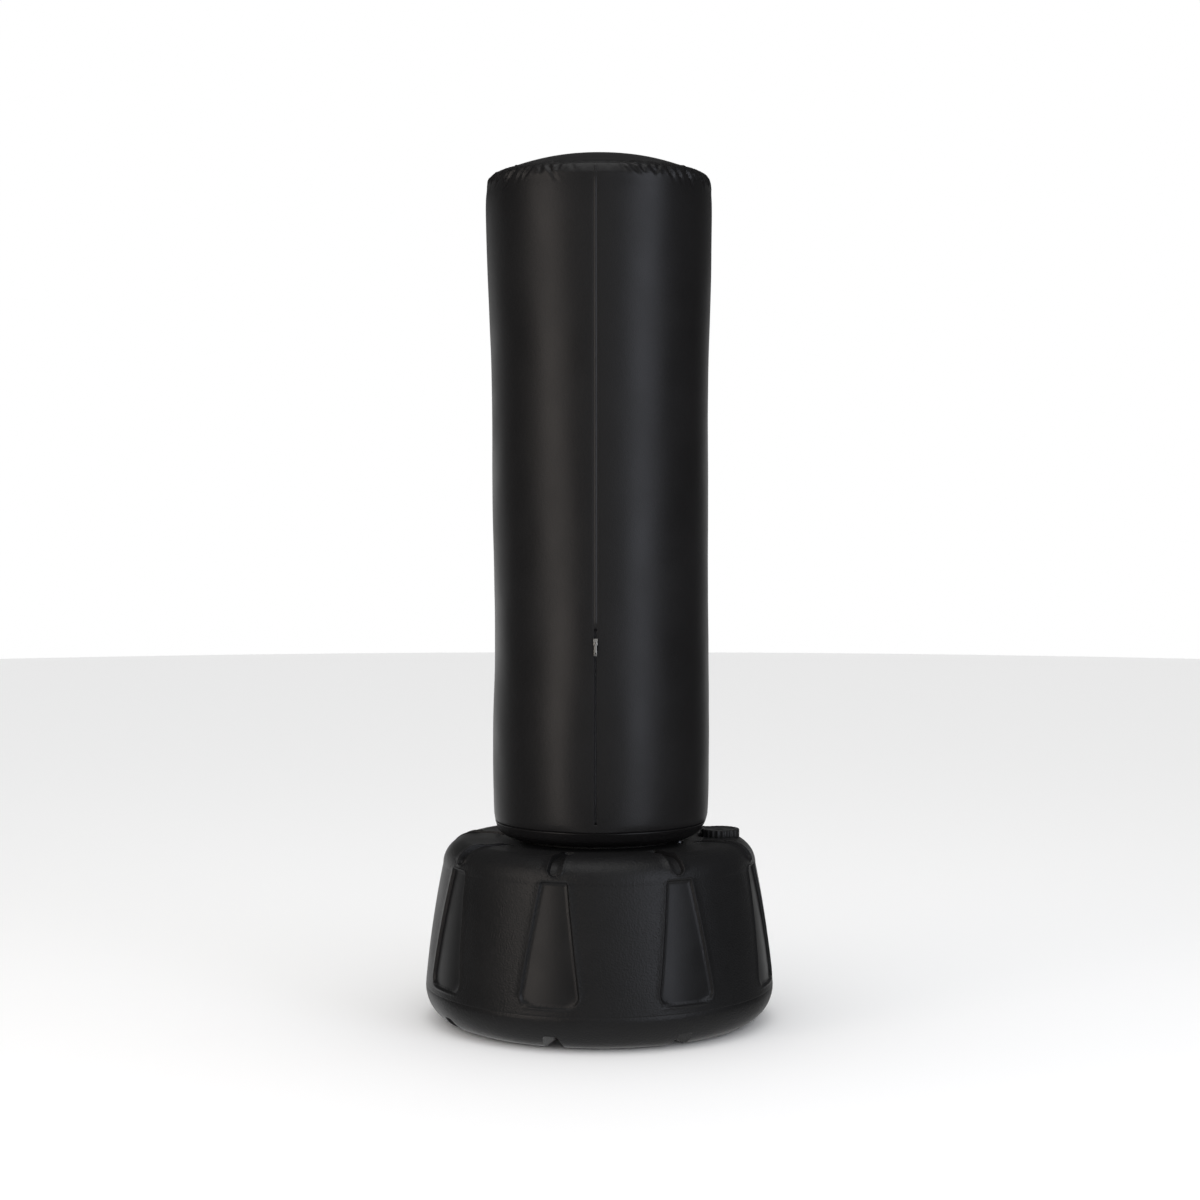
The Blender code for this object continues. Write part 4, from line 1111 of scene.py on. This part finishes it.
# %% Zip coils, tapes and stops
COIL_PITCH = 0.0018
COIL_SIDES = 5
COIL_STEPS = 8
zip_low, zip_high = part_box("zip_coil_left")
coil_y = (zip_low.y + zip_high.y) / 2
for side_sign, name in ((-1, "left"), (1, "right")):
    bm = bmesh.new()
    bmesh.ops.create_circle(
        bm, cap_ends=True, segments=COIL_SIDES, radius=0.00036,
        matrix=Matrix.Translation((0.00060, 0, 0)) @ Matrix.Rotation(math.pi / 2, 4, "X"))
    bmesh.ops.spin(
        bm, geom=[*bm.verts, *bm.edges, *bm.faces], axis=(0, 0, 1), cent=(0, 0, 0),
        dvec=(0, 0, COIL_PITCH / COIL_STEPS), angle=math.tau, steps=COIL_STEPS)
    bmesh.ops.scale(bm, vec=(1.26, 1.0, 1.0), verts=bm.verts)
    ends = [face for face in bm.faces if len(face.verts) == COIL_SIDES]
    bmesh.ops.delete(bm, geom=ends, context="FACES_ONLY")
    middle_x = side_sign * 0.0014
    offset = 0.0006 + (COIL_PITCH / 2 if side_sign > 0 else 0.0)
    bmesh.ops.translate(bm, vec=(middle_x, coil_y, zip_low.z + offset), verts=bm.verts)
    coil = piece(bm, f"coil_{name}", nylon, merge=1e-7)
    rows = coil.modifiers.new("turns", "ARRAY")
    rows.use_relative_offset = False
    rows.use_constant_offset = True
    rows.constant_offset_displace = (0, 0, COIL_PITCH)
    rows.count = int((zip_high.z - zip_low.z - 0.003) / COIL_PITCH)
    rows.use_merge_vertices = True
    rows.merge_threshold = 1e-5
    fit(coil, "bag", "zip_coil", f"zip_coil_{name}")
    node = f"zip_tape_{name}"
    tape_low, tape_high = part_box(node)
    bm = bmesh.new()
    bmesh.ops.create_grid(bm, x_segments=14, y_segments=96, size=0.5)
    bmesh.ops.rotate(bm, verts=bm.verts, cent=(0, 0, 0), matrix=Matrix.Rotation(math.pi / 2, 3, "X"))
    bmesh.ops.scale(bm, vec=(tape_high.x - tape_low.x, 1, tape_high.z - tape_low.z), verts=bm.verts)
    bmesh.ops.translate(bm, vec=(tape_low + tape_high) / 2, verts=bm.verts)
    web = piece(bm, f"tape_{name}", tape)
    wall = web.modifiers.new("wall", "SOLIDIFY")
    wall.thickness = tape_high.y - tape_low.y
    wall.offset = 0
    fit(web, "bag", "zip_tape", node)
for name in ("zip_top_stop", "zip_bottom_stop"):
    low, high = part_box(name)
    bm = block(high - low, (low + high) / 2)
    soften(bm, 0.0005)
    fit(piece(bm, f"crimped_{name[4:]}", black_nickel), "bag", "zip_metal", name)

# %% [markdown]
# The slider's plate starts as a cube. Two cuts across it give rows of points, and the middle rows
# are drawn in to make the waist. The bridge is two flattened, tapering posts with a pin across them.

# %% Slider and pull
HINGE = Vector((0, -0.2235, 0.780))
low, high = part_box("zip_slider")
SLIDER_WIDTH, SLIDER_LONG, SLIDER_MIDDLE = 0.0095, 0.013, 0.779
plate_front, plate_back = -0.2210, high.y
bm = block(
    (SLIDER_WIDTH, plate_back - plate_front, SLIDER_LONG), (0, (plate_front + plate_back) / 2, SLIDER_MIDDLE))
uprights = [edge for edge in bm.edges if abs(edge.verts[0].co.z - edge.verts[1].co.z) > 0.005]
bmesh.ops.subdivide_edges(bm, edges=uprights, cuts=5, use_grid_fill=True)
for vert in bm.verts:
    share = (vert.co.z - SLIDER_MIDDLE) / SLIDER_LONG + 0.5
    vert.co.x *= 0.74 + 0.26 * ramp(abs(share - 0.40), 0.10, 0.42)
soften(bm, 0.0005, sharper_than=50)
plate = piece(bm, "slider_plate", nickel)
posts = []
for side_sign in (-1, 1):
    post_x = side_sign * 0.00365
    bm = bmesh.new()
    bmesh.ops.create_cone(
        bm, cap_ends=True, segments=20, radius1=0.0016, radius2=0.0012, depth=0.0038,
        matrix=Matrix.Translation((post_x, -0.2225, HINGE.z)) @ Matrix.Rotation(math.pi / 2, 4, "X"))
    bmesh.ops.scale(bm, vec=(0.36, 1, 1), space=Matrix.Translation((-post_x, 0, 0)), verts=bm.verts)
    posts.append(piece(bm, f"post_{side_sign}", nickel))
bm = bmesh.new()
bmesh.ops.create_cone(
    bm, cap_ends=True, segments=16, radius1=0.0005, radius2=0.0005, depth=0.0078,
    matrix=Matrix.Translation(HINGE) @ Matrix.Rotation(math.pi / 2, 4, "Y"))
posts.append(piece(bm, "pin", nickel))
joined(plate, posts, "UNION")
refinish(plate, nickel, 40)
fit(plate, "zip_slider", "zip_metal", "zip_slider")

low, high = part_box("zip_pull")
bm = block((high.x - low.x, 0.0014, high.z - low.z), (0, HINGE.y, (low.z + high.z) / 2))
uprights = [edge for edge in bm.edges if abs(edge.verts[0].co.z - edge.verts[1].co.z) > 0.01]
bmesh.ops.subdivide_edges(bm, edges=uprights, cuts=11, use_grid_fill=True)
for vert in bm.verts:
    down = (high.z - vert.co.z) / (high.z - low.z)
    vert.co.x *= 0.80 + 0.20 * ramp(down, 0.10, 0.80)
    vert.co.y += math.copysign(0.0005, vert.co.y - HINGE.y) * (1 - ramp(down, 0.06, 0.16))
soften(bm, 0.00045, sharper_than=50)
pull = piece(bm, "pull_tag", nickel)
bm = bmesh.new()
bmesh.ops.create_cone(
    bm, cap_ends=True, segments=20, radius1=0.0009, radius2=0.0009, depth=0.02,
    matrix=Matrix.Translation(HINGE) @ Matrix.Rotation(math.pi / 2, 4, "Y"))
eye = piece(bm, "eye", nickel)
bm = bmesh.new()
bmesh.ops.create_cone(
    bm, cap_ends=True, segments=24, radius1=0.0013, radius2=0.0013, depth=0.01,
    matrix=Matrix.Translation((0, HINGE.y, low.z + 0.0042)) @ Matrix.Rotation(math.pi / 2, 4, "X"))
bmesh.ops.scale(
    bm, vec=(1, 1, 1.6), space=Matrix.Translation((0, 0, -(low.z + 0.0042))), verts=bm.verts)
window = piece(bm, "window", nickel)
joined(pull, [eye, window], "DIFFERENCE")
refinish(pull, nickel, 40)
fit(pull, "zip_pull", "zip_metal", "zip_pull")

# %% [markdown]
# ## Ballast
# Sand or water fills the tank, and sand is shown. Its solid already has the right shape, so that CAD
# node stays and only gets a better material.

# %% Ballast finish
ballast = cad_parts["ballast_fill"]
for slot_index in range(max(len(ballast.material_slots), 1)):
    if not ballast.material_slots:
        ballast.data.materials.append(sand)
    ballast.material_slots[slot_index].material = sand
print("ballast shows", ballast.material_slots[0].material.name)

# %% [markdown]
# ## Floor and light
# A product of one black colour is drawn by what it reflects. Two tall softboxes stand in front, about
# 45 degrees to either side, and each puts one long highlight down the bag. The left one is a little
# warm and the right one a little cool. A weak panel in front lifts the middle, and a light overhead
# picks out the crown, the shoulder grooves and the lips of the panels. The world is white, but in
# reflections it is dark except in two places: a band low down behind the bag, which gives both edges
# a thin bright rim, and a weaker glow from the ground. The floor is pale and plain.

# %% Stage
def softbox(name, angle, distance, height, size, power, colour, aim=0.9, roll=0.0):
    """A rectangular light that faces the bag's axis, rolled by some degrees about that line."""
    data = bpy.data.lights.new(name, "AREA")
    data.shape = "RECTANGLE"
    data.size, data.size_y = size
    data.energy = power
    data.color = linear(colour)[:3]
    lamp = bpy.data.objects.new(name, data)
    lamp.location = around(math.radians(angle), distance, height)
    to_axis = Vector((0, 0, aim)) - lamp.location
    facing = to_axis.to_track_quat("-Z", "Y").to_matrix() @ Matrix.Rotation(math.radians(roll), 3, "Z")
    lamp.rotation_euler = facing.to_euler()
    lamp.visible_camera = False
    scene.collection.objects.link(lamp)
    return lamp


softbox("softbox_left", -47, 3.0, 1.30, (1.0, 3.4), 20, "#FFF4EC", roll=17)
softbox("softbox_right", 45, 3.0, 1.30, (1.25, 3.4), 23, "#EEF2FF", roll=-18)
softbox("front_panel", 4, 3.6, 1.40, (2.0, 2.4), 4, "#FFFFFF")
softbox("overhead", 0, 0.9, 3.6, (2.2, 2.2), 16, "#FFFFFF", aim=0.4)

world = bpy.data.worlds.new("studio")
scene.world = world
world.use_nodes = True
sky = world.node_tree
background = sky.nodes["Background"]
background.inputs["Color"].default_value = (1, 1, 1, 1)
direction = add(sky, "ShaderNodeTexCoord").outputs["Generated"]
rise = add(sky, "ShaderNodeSeparateXYZ", {"Vector": direction}).outputs["Z"]
behind = add(sky, "ShaderNodeVectorMath", {0: direction, 1: (-0.19, 0.98, 0.0)}, operation="DOT_PRODUCT")
sweep = add(sky, "ShaderNodeMapRange", {
    "Value": behind.outputs["Value"], "From Min": 0.55, "From Max": 1.0, "To Min": 0.0, "To Max": 0.95,
}, interpolation_type="SMOOTHSTEP")
band = add(sky, "ShaderNodeMapRange", {
    "Value": rise, "From Min": 0.01, "From Max": 0.13, "To Min": 1.0, "To Max": 0.04,
}, interpolation_type="SMOOTHSTEP")
ground = add(sky, "ShaderNodeMapRange", {
    "Value": rise, "From Min": -0.15, "From Max": -0.70, "To Min": 0.04, "To Max": 0.40,
}, interpolation_type="SMOOTHSTEP")
cyclorama = add(sky, "ShaderNodeMath", {
    0: sweep.outputs["Result"], 1: band.outputs["Result"], 2: ground.outputs["Result"],
}, operation="MULTIPLY_ADD")
rays = add(sky, "ShaderNodeLightPath")
shine = add(sky, "ShaderNodeMath", {
    0: rays.outputs["Is Glossy Ray"], 1: cyclorama.outputs["Value"],
}, operation="MULTIPLY")
others = add(sky, "ShaderNodeMath", {0: 1.0, 1: rays.outputs["Is Glossy Ray"]}, operation="SUBTRACT")
strength = add(sky, "ShaderNodeMath", {
    0: shine.outputs["Value"], 1: others.outputs["Value"],
}, operation="ADD")
sky.links.new(strength.outputs["Value"], background.inputs["Strength"])

painted_floor, tree, shader, place = finish_named("matt_floor_paint", "#F4F4F4", 0.7)
bm = bmesh.new()
bmesh.ops.create_circle(bm, cap_ends=True, segments=96, radius=12.0)
floor = piece(bm, "floor", painted_floor)
floor.visible_glossy = False
floor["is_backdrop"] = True

# %% [markdown]
# ## Camera
# A long lens a little over four and a half metres away, at chest height, looks slightly down. The
# view transform is Standard, so that white stays white.

# %% Camera
CAMERA_DISTANCE, CAMERA_HEIGHT, CAMERA_TURN, CAMERA_PITCH = 4.624, 1.033, 2.0, 2.238

lens = bpy.data.cameras.new("camera")
lens.lens = 68.01
lens.sensor_width = 36.0
lens.shift_x = 0.0005
camera = bpy.data.objects.new("camera", lens)
camera.location = around(math.radians(CAMERA_TURN), CAMERA_DISTANCE, CAMERA_HEIGHT)
camera.rotation_euler = (math.radians(90 - CAMERA_PITCH), 0, math.radians(CAMERA_TURN))
scene.collection.objects.link(camera)
scene.camera = camera
scene.view_settings.view_transform = "Standard"
scene.view_settings.look = "None"

# %% [markdown]
# ## Finish
# The sizes of both boxes, the CAD model's and the visual model's, are printed in millimetres. The
# visual model has to stay within the CAD model's box, give or take a little for fabric.

# %% Compare sizes and finish
shown_box = [list(corner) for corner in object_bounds()]
for word, box in (("CAD", cad_box), ("visual", shown_box)):
    print(word, "box, mm:", [round((high - low) * 1000, 1) for low, high in zip(*box)])
